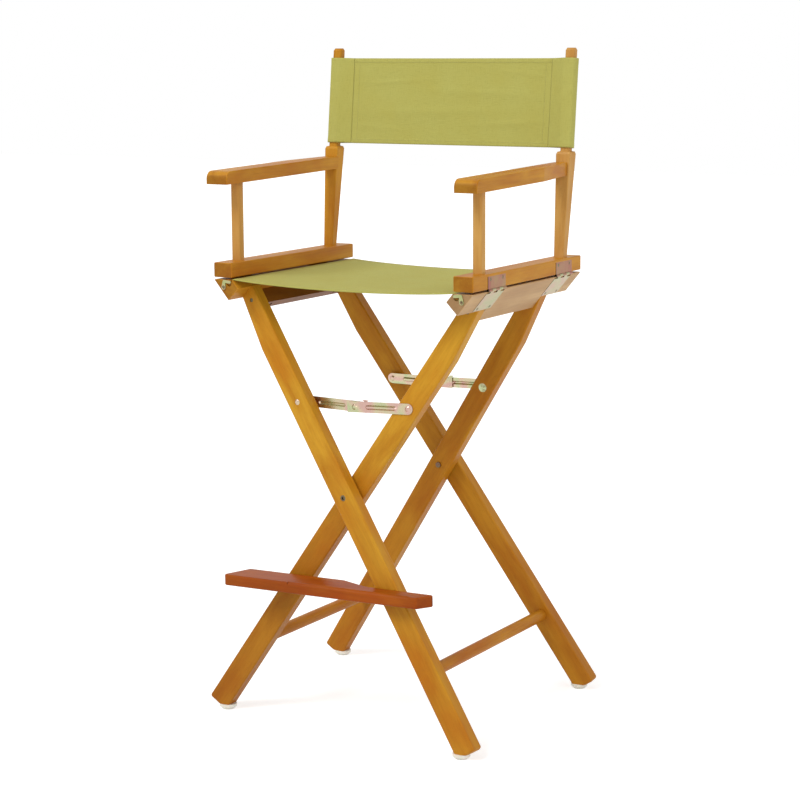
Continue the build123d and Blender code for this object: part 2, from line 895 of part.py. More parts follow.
def armrest():
    board = armrest_blank() - behind_back_post()
    low = armrest_height - overrun
    board -= tenon(front_post_x, front_post_y, low, overrun + tenon_length, bore_clearance)
    return board - arm_screw(bore_clearance)


def arm_screw(grow=0, open_behind=0):
    """Through the back post from behind, into the end of the armrest, its head just sunk."""
    z = armrest_height + armrest_thickness
    share = (z - arm_top) / (back_post_shoulder_height - arm_top)
    widening = (back_post_shoulder_depth - back_post_foot_depth) / 2
    y = back_post_y(z) + back_post_foot_depth / 2 + widening * share - screw_head_depth
    head = screw_head_radius + grow
    screw = wood_screw(screw_shank_radius + grow, head, screw_head_depth + grow, overrun + grow)
    if open_behind > 0:
        screw += Cylinder(head, open_behind, align=(Align.CENTER, Align.CENTER, Align.MIN))
    return Pos(back_post_x, y, z) * Rot(-half_turn / 2 + armrest_slope, 0, 0) * screw


def front_post():
    height = armrest_height - arm_top
    section = RectangleRounded(front_post_width, front_post_width, front_post_corner)
    body = extrude(section, height + armrest_thickness / 2)
    post = Pos(front_post_x, front_post_y, arm_top) * body - armrest_blank()
    length = height + tenon_length * 2 - bore_clearance
    return post + tenon(front_post_x, front_post_y, arm_top - tenon_length, length)


def back_post_section(z, width, depth, corner):
    return Pos(back_post_x, back_post_y(z), z) * RectangleRounded(width, depth, corner)


def back_post():
    """Widening up to an eased shoulder, then a slim neck with a blunt point."""
    corner = back_post_corner
    shoulder = back_post_shoulder_height
    wide = back_post_shoulder_width
    deep = back_post_shoulder_depth
    ease = back_post_ease
    eased = shoulder + back_post_ease_rise
    neck = back_post_neck
    point = back_post_neck - back_post_point
    sections = [
        back_post_section(arm_top, back_post_foot_width, back_post_foot_depth, corner),
        back_post_section(shoulder, wide, deep, corner),
        back_post_section(eased, wide - ease, deep - ease, corner),
        back_post_section(eased + back_post_ledge_rise, neck, neck, back_post_neck_corner),
        back_post_section(back_post_top - back_post_point, neck, neck, back_post_neck_corner),
        back_post_section(back_post_top, point, point, back_post_neck_corner),
    ]
    post = loft(sections, ruled=True)
    post += tenon(back_post_x, back_post_y(arm_top), arm_top - tenon_length, tenon_length)
    return post - arm_screw(bore_clearance, overrun)


# Footrest, screwed to the front of the outer leg and resting on a pin in the inner one
footrest_below = (pivot_height - footrest_top + footrest_thickness / 2) / lean_cosine


def footrest_place():
    return Pos(0, 0, footrest_top) * Rot(0, -footrest_tilt, 0)


def footrest():
    """The board, narrower on its right, with both ends cut on a slant."""
    front = -footrest_front
    outline = [
        (-footrest_left, front),
        (footrest_right - footrest_end_slant, front),
        (footrest_right, front + footrest_shallow),
        (footrest_step_end, front + footrest_shallow),
        (-footrest_step_start, front + footrest_deep),
        (footrest_end_slant - footrest_left, front + footrest_deep),
    ]
    board = extrude(make_face(Polyline(*outline, close=True)), -footrest_thickness)
    upright = board.edges().filter_by(Axis.Z).sort_by(Axis.X)
    board = fillet([upright[0], upright[1], upright[-1], upright[-2]], footrest_corner_radius)
    upright = board.edges().filter_by(Axis.Z)
    room = footrest_corner_radius
    steps = upright.filter_by_position(Axis.X, -footrest_step_start - room, footrest_step_end + room)
    board = fillet(steps, footrest_step_radius)
    rims = board.faces().sort_by(Axis.Z)
    board = fillet(rims[-1].edges() + rims[0].edges(), footrest_edge_radius)
    board -= front_roll()
    board = footrest_place() * board
    for hole in footrest_screws(bore_clearance):
        board -= hole
    return board


def front_roll():
    """The hollow cut that rounds the front edge over, between its two stops."""
    length = footrest_roll_left + footrest_roll_right
    bar = Box(length, footrest_roll * 2, footrest_roll * 2)
    bar -= Pos(0, footrest_roll, -footrest_roll) * Rot(0, half_turn / 2, 0) * Cylinder(footrest_roll, length)
    bar &= Pos(0, footrest_roll / 2, -footrest_roll / 2) * Box(length, footrest_roll, footrest_roll)
    return Pos((footrest_roll_right - footrest_roll_left) / 2, -footrest_front, 0) * bar


def footrest_screws(grow=0):
    """From behind, through the outer leg into the board."""
    screws = []
    leg_back = on_leg(frame_depth) * Pos(0, leg_thickness, 0)
    for side in (-1, 1):
        x = footrest_below * lean_sine + footrest_screw_spacing / 2 * side
        across, along = to_frame(x, pivot_height - footrest_below * lean_cosine)
        screw = wood_screw(
            footrest_screw_radius + grow,
            footrest_screw_head + grow,
            footrest_screw_head + grow,
            leg_thickness + footrest_screw_bite + grow,
        )
        screws.append(leg_back * Pos(across, 0, along) * Rot(-half_turn / 2, 0, 0) * screw)
    return screws


def support_pin(grow=0):
    """A peg in the inner front leg that holds the footrest's free end up."""
    tilt = math.radians(footrest_tilt)
    under = footrest_top - footrest_thickness / math.cos(tilt) - support_pin_radius - clearance
    x = (pivot_height - under) * lean_slope
    z = under - x * math.tan(tilt)
    across, along = to_frame((pivot_height - z) * lean_slope, z)
    face = -inner_frame_depth + splay_slope * along
    pin = peg(support_pin_radius + grow, face - support_pin_reach, face + support_pin_socket + grow)
    return to_right(lean() * Pos(across, 0, along) * pin)


# Cloth
def seat_sling():
    """Both sleeves round their dowels and the sheet that sags between them."""
    edge_x, edge_z = sling_edge
    high = edge_z + cloth / 2
    low = edge_z - cloth / 2
    top = ThreePointArc((edge_x, high), (0, high - seat_sag), (-edge_x, high))
    bottom = ThreePointArc((edge_x, low), (0, low - seat_sag), (-edge_x, low))
    ends = [Line((x, high), (x, low)) for x in (-edge_x, edge_x)]
    profile = make_face([top, ends[0], bottom, ends[1]])
    half = Pos(*sling_edge) * Circle(cloth / 2) + Pos(*groove_centre) * Circle(seat_dowel_radius + cloth)
    half += make_face(Polyline(*neck_band(cloth / 2, 0), close=True))
    half -= Pos(*groove_centre) * Circle(seat_dowel_radius + bore_clearance)
    profile = profile + half + to_right(half)
    upright = Plane(origin=(0, -seat_half_depth, 0), x_dir=(1, 0, 0), z_dir=(0, -1, 0))
    return extrude(upright * profile, -seat_half_depth * 2)


def sleeve_outline():
    """The back sling's loop round one post, seen along the post, its seam towards the middle."""
    half = back_post_neck / 2 + loose_fit + back_cloth
    reach = back_sleeve_reach
    upper = [
        (-back_sleeve_seam, back_cloth / 2),
        (-back_post_neck / 2, half),
        (reach - back_sleeve_corner, half),
        (reach, half / 2),
    ]
    face = make_face(Polyline(*upper, *[(x, -y) for x, y in reversed(upper)], close=True))
    return fillet(face.vertices().sort_by(Axis.X)[2:], back_sleeve_corner)


def back_sling():
    """A flat panel with a loose sleeve round the neck of each back post."""
    seam = abs(back_post_x) - back_sleeve_seam
    loop = Pos(abs(back_post_x), 0) * sleeve_outline()
    hollow = Pos(abs(back_post_x), 0) * offset(sleeve_outline(), -back_cloth)
    profile = Rectangle(seam * 2 + back_cloth, back_cloth) + loop + to_right(loop)
    profile = profile - hollow - to_right(hollow)
    y = back_post_y(back_bottom)
    along = Plane(origin=(0, y, back_bottom), x_dir=(1, 0, 0), z_dir=(0, rake_slope, 1))
    return extrude(along * profile, (back_top - back_bottom) / math.cos(math.radians(back_post_rake)))


# Build every piece, then set the middle of the box over the origin
def frame_pieces(depth, names, to_side, front_leg, rear_leg):
    """One flat frame: two legs, a rail, an apron, a stretcher and their fastenings."""
    return {
        names["front_leg"]: [to_side(front_leg)],
        names["rear_leg"]: [to_side(to_rear(rear_leg))],
        names["rail"]: [to_side(seat_rail(depth))],
        names["apron"]: [to_side(apron(depth))],
        names["stretcher"]: [to_side(stretcher(depth))],
        names["glides"]: [to_side(piece) for piece in both_ends(glide(depth))],
        names["rail_bolts"]: [to_side(piece) for piece in both_ends(rail_bolt(depth))],
        names["hinge_leaves"]: [to_side(lower_leaf(middle)) for middle in hinge_middles],
        names["hinge_pins"]: [to_side(hinge_pin(middle)) for middle in hinge_middles],
        names["leaf_screws"]: [to_side(piece) for piece in lower_screws(small_screw())],
        names["apron_screws"]: [to_side(piece) for piece in apron_screws(depth, 0)],
        names["seat_dowel"]: [to_side(seat_dowel())],
        names["clip_screws"]: [to_side(piece) for piece in both_ends(clip_screw())],
    }


def stay(shape):
    return shape


def arm_pieces(side, to_side):
    return {
        side + "_arm_rail": [to_side(arm_rail())],
        side + "_front_post": [to_side(front_post())],
        side + "_back_post": [to_side(back_post())],
        side + "_armrest": [to_side(armrest())],
        side + "_upper_hinge_leaves": [to_side(upper_leaf(middle)) for middle in hinge_middles],
        side + "_upper_leaf_screws": [to_side(piece) for piece in upper_screws(small_screw())],
        side + "_armrest_screw": [to_side(arm_screw())],
    }


def frame_names(prefix, side, other):
    return {
        "front_leg": prefix + "_front_leg",
        "rear_leg": prefix + "_rear_leg",
        "rail": side + "_seat_rail",
        "apron": side + "_apron",
        "stretcher": other + "_stretcher",
        "glides": other + "_glides",
        "rail_bolts": side + "_rail_bolts",
        "hinge_leaves": side + "_lower_hinge_leaves",
        "hinge_pins": side + "_hinge_pins",
        "leaf_screws": side + "_lower_leaf_screws",
        "apron_screws": side + "_apron_screws",
        "seat_dowel": side + "_seat_dowel",
        "clip_screws": side + "_clip_screws",
    }


def all_pieces():
    outer_rear = outer_leg()
    outer_front = outer_rear
    for hole in footrest_screws(bore_clearance):
        outer_front -= hole
    inner_rear = leg(inner_frame_depth)
    inner_front = inner_rear - to_right(support_pin(bore_clearance))
    outer_names = frame_names("outer", "left", "right")
    inner_names = frame_names("inner", "right", "left")
    pieces = frame_pieces(frame_depth, outer_names, stay, outer_front, outer_rear)
    pieces.update(frame_pieces(inner_frame_depth, inner_names, to_right, inner_front, inner_rear))
    pieces["footrest"] = [footrest() - outer_front]
    pieces["footrest_screws"] = footrest_screws()
    pieces["footrest_peg"] = [support_pin()]
    pieces["pivot_bolts"] = both_ends(pivot_bolt())
    pieces["pivot_nuts"] = both_ends(pivot_nut())
    pieces["pivot_spacers"] = both_ends(pivot_spacer(outer_rear))
    pieces["outer_brace_pins"] = both_ends(outer_brace_pin())
    pieces["inner_brace_pins"] = both_ends(to_right(inner_brace_pin()))
    pieces["front_left_brace_link"] = [outer_link()]
    pieces["rear_left_brace_link"] = [to_rear(outer_link())]
    pieces["front_right_brace_link"] = [to_right(inner_link())]
    pieces["rear_right_brace_link"] = [to_rear(to_right(inner_link()))]
    pieces["front_brace_rivet"] = [middle_rivet()]
    pieces["rear_brace_rivet"] = [to_rear(middle_rivet())]
    pieces.update(arm_pieces("left", stay))
    pieces.update(arm_pieces("right", to_right))
    pieces["front_left_seat_clip"] = [seat_clip()]
    pieces["rear_left_seat_clip"] = [to_rear(seat_clip())]
    pieces["front_right_seat_clip"] = [to_right(seat_clip())]
    pieces["rear_right_seat_clip"] = [to_rear(to_right(seat_clip()))]
    pieces["seat_sling"] = [seat_sling()]
    pieces["back_sling"] = [back_sling()]
    return pieces


os.makedirs("parts", exist_ok=True)
pieces = all_pieces()
boxes = [solid.bounding_box() for solids in pieces.values() for solid in solids]
middle_y = (min(box.min.Y for box in boxes) + max(box.max.Y for box in boxes)) / 2
for name, solids in pieces.items():
    moved = [Pos(0, -middle_y, 0) * solid for solid in solids]
    shape = moved[0] if len(moved) == 1 else Compound(children=moved)
    export_step(shape, "parts/" + name + ".step")

print("moved back by", round(middle_y, 3))
print("hinge pin at x", round(hinge_x, 3), "z", round(hinge_z, 3))
print("clip screw at x", round(clip_x, 3), "z", round(clip_z, 3))
print("brace pin at x", round(pin_x, 3), "z", round(pin_z, 3))
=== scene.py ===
import bpy
import bmesh
import json
import math
import random
from mathutils import Matrix, Vector, noise

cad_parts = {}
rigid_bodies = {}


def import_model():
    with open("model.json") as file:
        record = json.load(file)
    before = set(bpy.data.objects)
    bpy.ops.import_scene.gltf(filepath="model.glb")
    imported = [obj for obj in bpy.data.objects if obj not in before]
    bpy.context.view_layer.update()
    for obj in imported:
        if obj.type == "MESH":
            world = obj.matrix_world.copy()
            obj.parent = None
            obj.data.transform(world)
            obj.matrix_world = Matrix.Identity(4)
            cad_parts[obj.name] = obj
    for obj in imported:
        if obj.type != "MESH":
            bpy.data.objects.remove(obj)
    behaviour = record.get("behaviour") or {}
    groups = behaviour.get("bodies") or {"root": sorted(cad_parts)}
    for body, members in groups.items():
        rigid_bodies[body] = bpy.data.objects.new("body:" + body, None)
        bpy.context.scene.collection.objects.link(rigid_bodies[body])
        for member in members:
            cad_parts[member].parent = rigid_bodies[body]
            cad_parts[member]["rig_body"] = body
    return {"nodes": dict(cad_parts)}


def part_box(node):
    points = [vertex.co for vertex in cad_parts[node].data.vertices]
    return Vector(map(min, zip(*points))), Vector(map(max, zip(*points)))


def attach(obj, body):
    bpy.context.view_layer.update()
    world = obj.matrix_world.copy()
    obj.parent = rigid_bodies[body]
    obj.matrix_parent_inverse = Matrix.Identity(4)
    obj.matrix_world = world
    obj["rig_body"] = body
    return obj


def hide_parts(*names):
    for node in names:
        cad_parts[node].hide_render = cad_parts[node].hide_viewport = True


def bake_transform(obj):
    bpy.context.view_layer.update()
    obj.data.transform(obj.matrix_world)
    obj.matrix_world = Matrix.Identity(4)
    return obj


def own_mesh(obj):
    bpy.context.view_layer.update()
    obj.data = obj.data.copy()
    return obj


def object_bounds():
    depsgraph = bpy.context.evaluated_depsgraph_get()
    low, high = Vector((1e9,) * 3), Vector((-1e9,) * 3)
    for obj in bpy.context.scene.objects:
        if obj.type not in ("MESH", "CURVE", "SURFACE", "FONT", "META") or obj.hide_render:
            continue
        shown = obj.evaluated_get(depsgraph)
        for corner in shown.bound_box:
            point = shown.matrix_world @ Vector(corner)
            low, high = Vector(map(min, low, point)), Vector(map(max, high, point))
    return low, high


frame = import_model()
cadLow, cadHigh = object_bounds()
nodes = frame["nodes"]
mm = 0.001
random.seed(7)
print("frame loaded,", len(nodes), "nodes")


# colours and small helpers for node trees
def paint(red, green, blue):  # screen colour 0-255 to the linear value that a socket wants
    def linear(part):
        part = part / 255
        return part / 12.92 if part <= 0.04045 else ((part + 0.055) / 1.055) ** 2.4
    return (linear(red), linear(green), linear(blue), 1.0)


class Recipe:  # one material and its nodes, added from left to right
    def __init__(self, name):
        self.material = bpy.data.materials.new(name)
        self.material.use_nodes = True
        self.tree = self.material.node_tree
        self.tree.nodes.clear()
        self.output = self.add("ShaderNodeOutputMaterial")
        self.shader = self.add("ShaderNodeBsdfPrincipled")
        self.join(self.shader, "BSDF", self.output, "Surface")

    def add(self, kind, **settings):
        node = self.tree.nodes.new(kind)
        node.location = (len(self.tree.nodes) * 190 - 1200, 0)
        for key, value in settings.items():
            setattr(node, key, value)
        return node

    def join(self, start, plug, end, socket):
        self.tree.links.new(start.outputs[plug], end.inputs[socket])

    def noise(self, place, scale, detail=4.0, rough=0.5, bend=0.0):
        node = self.add("ShaderNodeTexNoise")
        node.inputs["Scale"].default_value = scale
        node.inputs["Detail"].default_value = detail
        node.inputs["Roughness"].default_value = rough
        node.inputs["Distortion"].default_value = bend
        self.join(place, 0, node, "Vector")
        return node

    def ramp(self, source, stops, plug="Fac"):
        node = self.add("ShaderNodeValToRGB")
        while len(node.color_ramp.elements) < len(stops):
            node.color_ramp.elements.new(0.5)
        for element, (spot, colour) in zip(node.color_ramp.elements, stops):
            element.position = spot
            element.color = colour
        self.join(source, plug, node, "Fac")
        return node

    def spread(self, source, low, high, plug="Fac", start=0.0, end=1.0):
        node = self.add("ShaderNodeMapRange")
        node.inputs["From Min"].default_value = start
        node.inputs["From Max"].default_value = end
        node.inputs["To Min"].default_value = low
        node.inputs["To Max"].default_value = high
        self.join(source, plug, node, "Value")
        return node

    def blendColours(self, mode, share, first, second):
        node = self.add("ShaderNodeMix", data_type="RGBA", blend_type=mode)
        if hasattr(share, "outputs"):
            self.tree.links.new(share.outputs[0], node.inputs[0])
        else:
            node.inputs[0].default_value = share
        self.tree.links.new(first, node.inputs[6])
        if hasattr(second, "is_output"):
            self.tree.links.new(second, node.inputs[7])
        else:
            node.inputs[7].default_value = second
        return node.outputs[2]

    def turn(self, place, angles, stretch=(1, 1, 1), shift=(0, 0, 0)):
        spin = self.add("ShaderNodeMapping")
        spin.inputs["Rotation"].default_value = angles
        spin.inputs["Location"].default_value = shift
        self.join(place, 0, spin, "Vector")
        size = self.add("ShaderNodeMapping")
        size.inputs["Scale"].default_value = stretch
        self.join(spin, 0, size, "Vector")
        return size

    def objectPlace(self):
        node = self.add("ShaderNodeTexCoord")
        spot = self.add("ShaderNodeMapping")
        self.join(node, "Object", spot, "Vector")
        return spot

    def facing(self, axis, low, high):  # 1 where the surface faces along an axis, either way
        node = self.add("ShaderNodeTexCoord")
        parts = self.add("ShaderNodeSeparateXYZ")
        self.join(node, "Normal", parts, "Vector")
        size = self.add("ShaderNodeMath", operation="ABSOLUTE")
        self.join(parts, axis, size, 0)
        return self.spread(size, 0.0, 1.0, "Value", low, high)

    def bump(self, source, depth, plug="Fac", after=None):
        node = self.add("ShaderNodeBump")
        node.inputs["Strength"].default_value = 1.0
        node.inputs["Distance"].default_value = depth
        self.join(source, plug, node, "Height")
        if after:
            self.join(after, "Normal", node, "Normal")
        return node

    def set(self, **values):
        for key, value in values.items():
            self.shader.inputs[key.replace("_", " ")].default_value = value


# wood, stained honey and lacquered
legLean = math.radians(33.2)
grainTurns = {
    "up": (0, 0, 0),
    "alongRail": (math.radians(90), 0, 0),
    "acrossChair": (0, math.radians(90), 0),
    "leansLeft": (0, legLean, 0),
    "leansRight": (0, -legLean, 0),
}
endGrain = dict(  # the axis of the cut ends for each grain, and how much darker they take the stain
    axis={"alongRail": "Y", "acrossChair": "X"}, shade=(0.68, 0.66, 0.70, 1), start=0.80, end=0.95,
)
woodTones = {
    "honey": dict(deep=(184, 120, 20), pale=(210, 156, 42), warm=(194, 120, 20)),
    "amber": dict(deep=(172, 106, 16), pale=(202, 142, 38), warm=(180, 104, 16)),
    "tan": dict(deep=(190, 134, 60), pale=(212, 166, 92), warm=(194, 138, 66)),
    "brown": dict(deep=(174, 108, 14), pale=(200, 140, 34), warm=(180, 106, 12)),
    "beige": dict(deep=(178, 136, 86), pale=(206, 168, 116), warm=(184, 142, 92)),
    "ruddy": dict(deep=(142, 64, 2), pale=(176, 92, 12), warm=(160, 62, 2)),
    # painted shade: the dark tone stands for the shade under the seat cloth, on the left apron's inner face
    "dark": dict(deep=(104, 58, 12), pale=(134, 80, 22), warm=(112, 58, 12)),
}
grainLook = dict(
    figure=(34, 4, 0.55, 0.6), pores=(1100, 3, 0.6),  # scale, detail, roughness and bend of each noise
    streaks=(300, 4, 0.6, 0.3), cloud=(16, 3, 0.55),
    figureRun=0.14, poreRun=0.02, cloudRun=0.5,  # scale along the grain against that across it
    warmth=0.8, streakShare=0.40, streakShade=(0.80, 0.74, 0.66, 1),
    poreShare=0.35, poreShade=(0.60, 0.50, 0.40, 1), poreDepth=0.05 * mm, figureDepth=0.1 * mm,
)
lacquer = dict(coat=0.04, coatRoughness=0.25, smooth=0.38, rough=0.52, sheen=0.14)
paintedLegShade = dict(  # painted shade: the wood is darker towards the floor, where the lamps' light falls off, and darkest low on the inner front leg, in the shade behind the footrest
    start=0.06, end=0.60, shade=(0.84, 0.76, 0.70, 1), deeper={"inner_front_leg": (0.62, 0.46, 0.40, 1)},
)


def woodMaterial(piece, toneName, grain, shift):
    tone = woodTones[toneName]
    w = Recipe("wood_" + piece)
    place = w.objectPlace()
    wide = w.turn(place, grainTurns[grain], (1.0, 1.0, grainLook["figureRun"]), shift)  # long soft figure
    fine = w.turn(place, grainTurns[grain], (1.0, 1.0, grainLook["poreRun"]), shift)  # pores, almost lines
    figure = w.noise(wide, *grainLook["figure"])
    pores = w.noise(fine, *grainLook["pores"])
    streaks = w.noise(fine, *grainLook["streaks"])
    soft = w.turn(place, grainTurns[grain], (1.0, 1.0, grainLook["cloudRun"]), shift)
    cloud = w.noise(soft, *grainLook["cloud"])
    body = w.ramp(figure, [(0.28, paint(*tone["deep"])), (0.62, paint(*tone["pale"]))])
    warmer = w.spread(cloud, 0.0, grainLook["warmth"], start=0.42, end=0.72)
    mixed = w.blendColours("MIX", warmer, body.outputs[0], paint(*tone["warm"]))
    lines = w.ramp(streaks, [(0.32, grainLook["streakShade"]), (0.60, (1, 1, 1, 1))])
    mixed = w.blendColours("MULTIPLY", grainLook["streakShare"], mixed, lines.outputs[0])
    dots = w.ramp(pores, [(0.30, grainLook["poreShade"]), (0.42, (1, 1, 1, 1))])
    mixed = w.blendColours("MULTIPLY", grainLook["poreShare"], mixed, dots.outputs[0])
    # painted shade: the colour is multiplied darker towards the floor
    height = w.add("ShaderNodeSeparateXYZ")
    w.join(place, 0, height, "Vector")
    level = w.spread(height, 0.0, 1.0, "Z", paintedLegShade["start"], paintedLegShade["end"])
    paintedFootShade = paintedLegShade["deeper"].get(piece, paintedLegShade["shade"])
    shade = w.ramp(level, [(0.0, paintedFootShade), (1.0, (1, 1, 1, 1))], "Result")
    mixed = w.blendColours("MULTIPLY", 1.0, mixed, shade.outputs[0])
    if grain in endGrain["axis"]:
        cutEnd = w.facing(endGrain["axis"][grain], endGrain["start"], endGrain["end"])
        mixed = w.blendColours("MULTIPLY", cutEnd, mixed, endGrain["shade"])
    w.tree.links.new(mixed, w.shader.inputs["Base Color"])
    shine = w.spread(streaks, lacquer["smooth"], lacquer["rough"])
    w.join(shine, 0, w.shader, "Roughness")
    low = w.bump(pores, grainLook["poreDepth"])
    high = w.bump(figure, grainLook["figureDepth"], after=low)
    w.join(high, "Normal", w.shader, "Normal")
    w.set(Coat_Weight=lacquer["coat"], Coat_Roughness=lacquer["coatRoughness"], IOR=1.48)
    w.set(Specular_IOR_Level=lacquer["sheen"])
    return w.material


# zinc plated steel, yellow passivated, with its green and pink bloom
zincLook = dict(
    bloom=(30, 2, 0.4, 1.2), bloomTurn=(0.4, 0.2, 0.7), grit=(1400, 3, 0.6), gritShare=0.6,
    brush=(1600, 3, 0.6), brushRun=(1.0, 0.06, 1.0), brushDepth=0.03 * mm, smoother=0.08, rougher=0.16,
)


def zincMaterial(name, warm, green, pink, shift, rough=0.30, paintedEndShade=None):
    z = Recipe(name)
    place = z.objectPlace()
    bloom = z.noise(z.turn(place, zincLook["bloomTurn"], (1, 1, 1), shift), *zincLook["bloom"])
    grit = z.noise(place, *zincLook["grit"])
    brushed = z.noise(z.turn(place, (0, 0, 0), zincLook["brushRun"]), *zincLook["brush"])
    colours = z.ramp(bloom, [(0.32, paint(*green)), (0.50, paint(*warm)), (0.66, paint(*pink))])
    dust = z.ramp(grit, [(0.30, (0.80, 0.80, 0.80, 1)), (0.60, (1, 1, 1, 1))])
    mixed = z.blendColours("MULTIPLY", zincLook["gritShare"], colours.outputs[0], dust.outputs[0])
    if paintedEndShade:  # painted shade: faces that look along Y, in the saw line and between the knuckles, are darkened to stand for the shade there
        mixed = z.blendColours("MULTIPLY", z.facing("Y", 0.8, 0.95), mixed, paintedEndShade)
    z.tree.links.new(mixed, z.shader.inputs["Base Color"])
    shine = z.spread(brushed, rough - zincLook["smoother"], rough + zincLook["rougher"])
    z.join(shine, 0, z.shader, "Roughness")
    z.join(z.bump(brushed, zincLook["brushDepth"]), "Normal", z.shader, "Normal")
    z.set(Metallic=1.0)
    return z.material


# glides: off-white nylon, scuffed
glideLook = dict(
    dull=(226, 222, 208), bright=(240, 237, 226), haze=(60, 2, 0.5), smooth=0.35, rough=0.55,
    scuff=(420, 4, 0.6), scuffTurn=(0, 0, 0.6), scuffRun=(1, 0.2, 1), scuffShare=0.5, scuffDepth=0.05 * mm,
)


def glideMaterial():
    g = Recipe("glide_nylon")
    place = g.objectPlace()
    scuff = g.noise(g.turn(place, glideLook["scuffTurn"], glideLook["scuffRun"]), *glideLook["scuff"])
    haze = g.noise(place, *glideLook["haze"])
    colour = g.ramp(haze, [(0.3, paint(*glideLook["dull"])), (0.7, paint(*glideLook["bright"]))])
    marks = g.ramp(scuff, [(0.30, (0.78, 0.76, 0.72, 1)), (0.45, (1, 1, 1, 1))])
    mixed = g.blendColours("MULTIPLY", glideLook["scuffShare"], colour.outputs[0], marks.outputs[0])
    g.tree.links.new(mixed, g.shader.inputs["Base Color"])
    g.join(g.spread(scuff, glideLook["smooth"], glideLook["rough"]), 0, g.shader, "Roughness")
    g.join(g.bump(scuff, glideLook["scuffDepth"]), "Normal", g.shader, "Normal")
    g.set(Subsurface_Weight=0.08, Subsurface_Scale=0.004)
    return g.material


# canvas: the weave follows the cloth's own run, kept in metres in a UV map
canvasLook = dict(
    threadPitch=1.1 * mm, dark=(160, 156, 80), light=(186, 182, 99), yellow=(182, 173, 85), yellowMost=0.5,
    weaveDepth=0.1 * mm, weaveShare=0.45, slub=(700, 3, 0.6), slubRun=0.08, slubDepth=0.22 * mm,
    cloud=(14, 3, 0.5), rough=0.88,
)


def canvasMaterial():
    c = Recipe("olive_canvas_cloth")
    run = c.add("ShaderNodeUVMap", uv_map="clothRun")
    warp = c.add("ShaderNodeTexWave", wave_type="BANDS", bands_direction="X")
    weft = c.add("ShaderNodeTexWave", wave_type="BANDS", bands_direction="Y")
    for threads in (warp, weft):
        threads.inputs["Scale"].default_value = 2 * math.pi / 20 / canvasLook["threadPitch"]
        threads.inputs["Distortion"].default_value = 0.4
        threads.inputs["Detail"].default_value = 1.0
        c.join(run, "UV", threads, "Vector")
    weave = c.add("ShaderNodeMath", operation="MAXIMUM")
    c.join(warp, "Fac", weave, 0)
    c.join(weft, "Fac", weave, 1)
    acrossSlub = c.noise(c.turn(run, (0, 0, 0), (1.0, canvasLook["slubRun"], 1.0)), *canvasLook["slub"])
    alongSlub = c.noise(c.turn(run, (0, 0, 0), (canvasLook["slubRun"], 1.0, 1.0)), *canvasLook["slub"])
    slub = c.add("ShaderNodeMath", operation="ADD")
    c.join(acrossSlub, "Fac", slub, 0)
    c.join(alongSlub, "Fac", slub, 1)
    cloud = c.noise(run, *canvasLook["cloud"])
    body = c.ramp(slub, [(0.35, paint(*canvasLook["dark"])), (1.0, paint(*canvasLook["light"]))], "Value")
    warmer = c.spread(cloud, 0.0, canvasLook["yellowMost"], start=0.35, end=0.7)
    mixed = c.blendColours("MIX", warmer, body.outputs[0], paint(*canvasLook["yellow"]))
    gaps = c.ramp(weave, [(0.1, (0.80, 0.80, 0.76, 1)), (0.7, (1, 1, 1, 1))], "Value")
    mixed = c.blendColours("MULTIPLY", canvasLook["weaveShare"], mixed, gaps.outputs[0])
    c.tree.links.new(mixed, c.shader.inputs["Base Color"])
    rough = c.bump(slub, canvasLook["slubDepth"], "Value")
    woven = c.bump(weave, canvasLook["weaveDepth"], "Value", rough)
    c.join(woven, "Normal", c.shader, "Normal")
    c.set(Roughness=canvasLook["rough"], Sheen_Weight=0.06, Sheen_Roughness=0.5, Specular_IOR_Level=0.10)
    return c.material


threadLook = dict(
    dark=(150, 145, 74), light=(186, 182, 104), twist=(1800, 2, 0.5), depth=0.1 * mm, rough=0.7,
)


def threadMaterial():
    t = Recipe("canvas_thread")
    twist = t.noise(t.objectPlace(), *threadLook["twist"])
    colour = t.ramp(twist, [(0.35, paint(*threadLook["dark"])), (0.65, paint(*threadLook["light"]))])
    t.join(colour, "Color", t.shader, "Base Color")
    t.join(t.bump(twist, threadLook["depth"]), "Normal", t.shader, "Normal")
    t.set(Roughness=threadLook["rough"], Sheen_Weight=0.2)
    return t.material


canvas = canvasMaterial()
thread = threadMaterial()
# painted shade for the saw line and between the knuckles of the hinge leaves
paintedSlotShade = (0.10, 0.07, 0.05, 1)
zincPale = zincMaterial(
    "zinc_plate", (178, 168, 130), (160, 166, 120), (184, 156, 132), (0, 0, 0), paintedEndShade=paintedSlotShade,
)
zincPink = zincMaterial(
    "zinc_plate_pink", (158, 116, 90), (158, 126, 90), (154, 100, 84), (0.3, 0, 0), paintedEndShade=paintedSlotShade,
)
zincClip = zincMaterial("zinc_clip", (178, 178, 128), (160, 172, 112), (184, 168, 128), (0.2, 0, 0))
zincSteel = zincMaterial(
    "zinc_links", (205, 190, 158), (184, 192, 148), (206, 170, 158), (0.1, 0.2, 0), 0.24,
)
zincDark = zincMaterial("zinc_bolt", (120, 108, 84), (104, 104, 80), (120, 96, 80), (0, 0.4, 0), 0.34)
screwZinc = zincMaterial("zinc_screw", (128, 112, 84), (110, 112, 84), (132, 100, 84), (0.5, 0, 0), 0.26)
glidePlastic = glideMaterial()
print("metal, canvas and glide materials made")

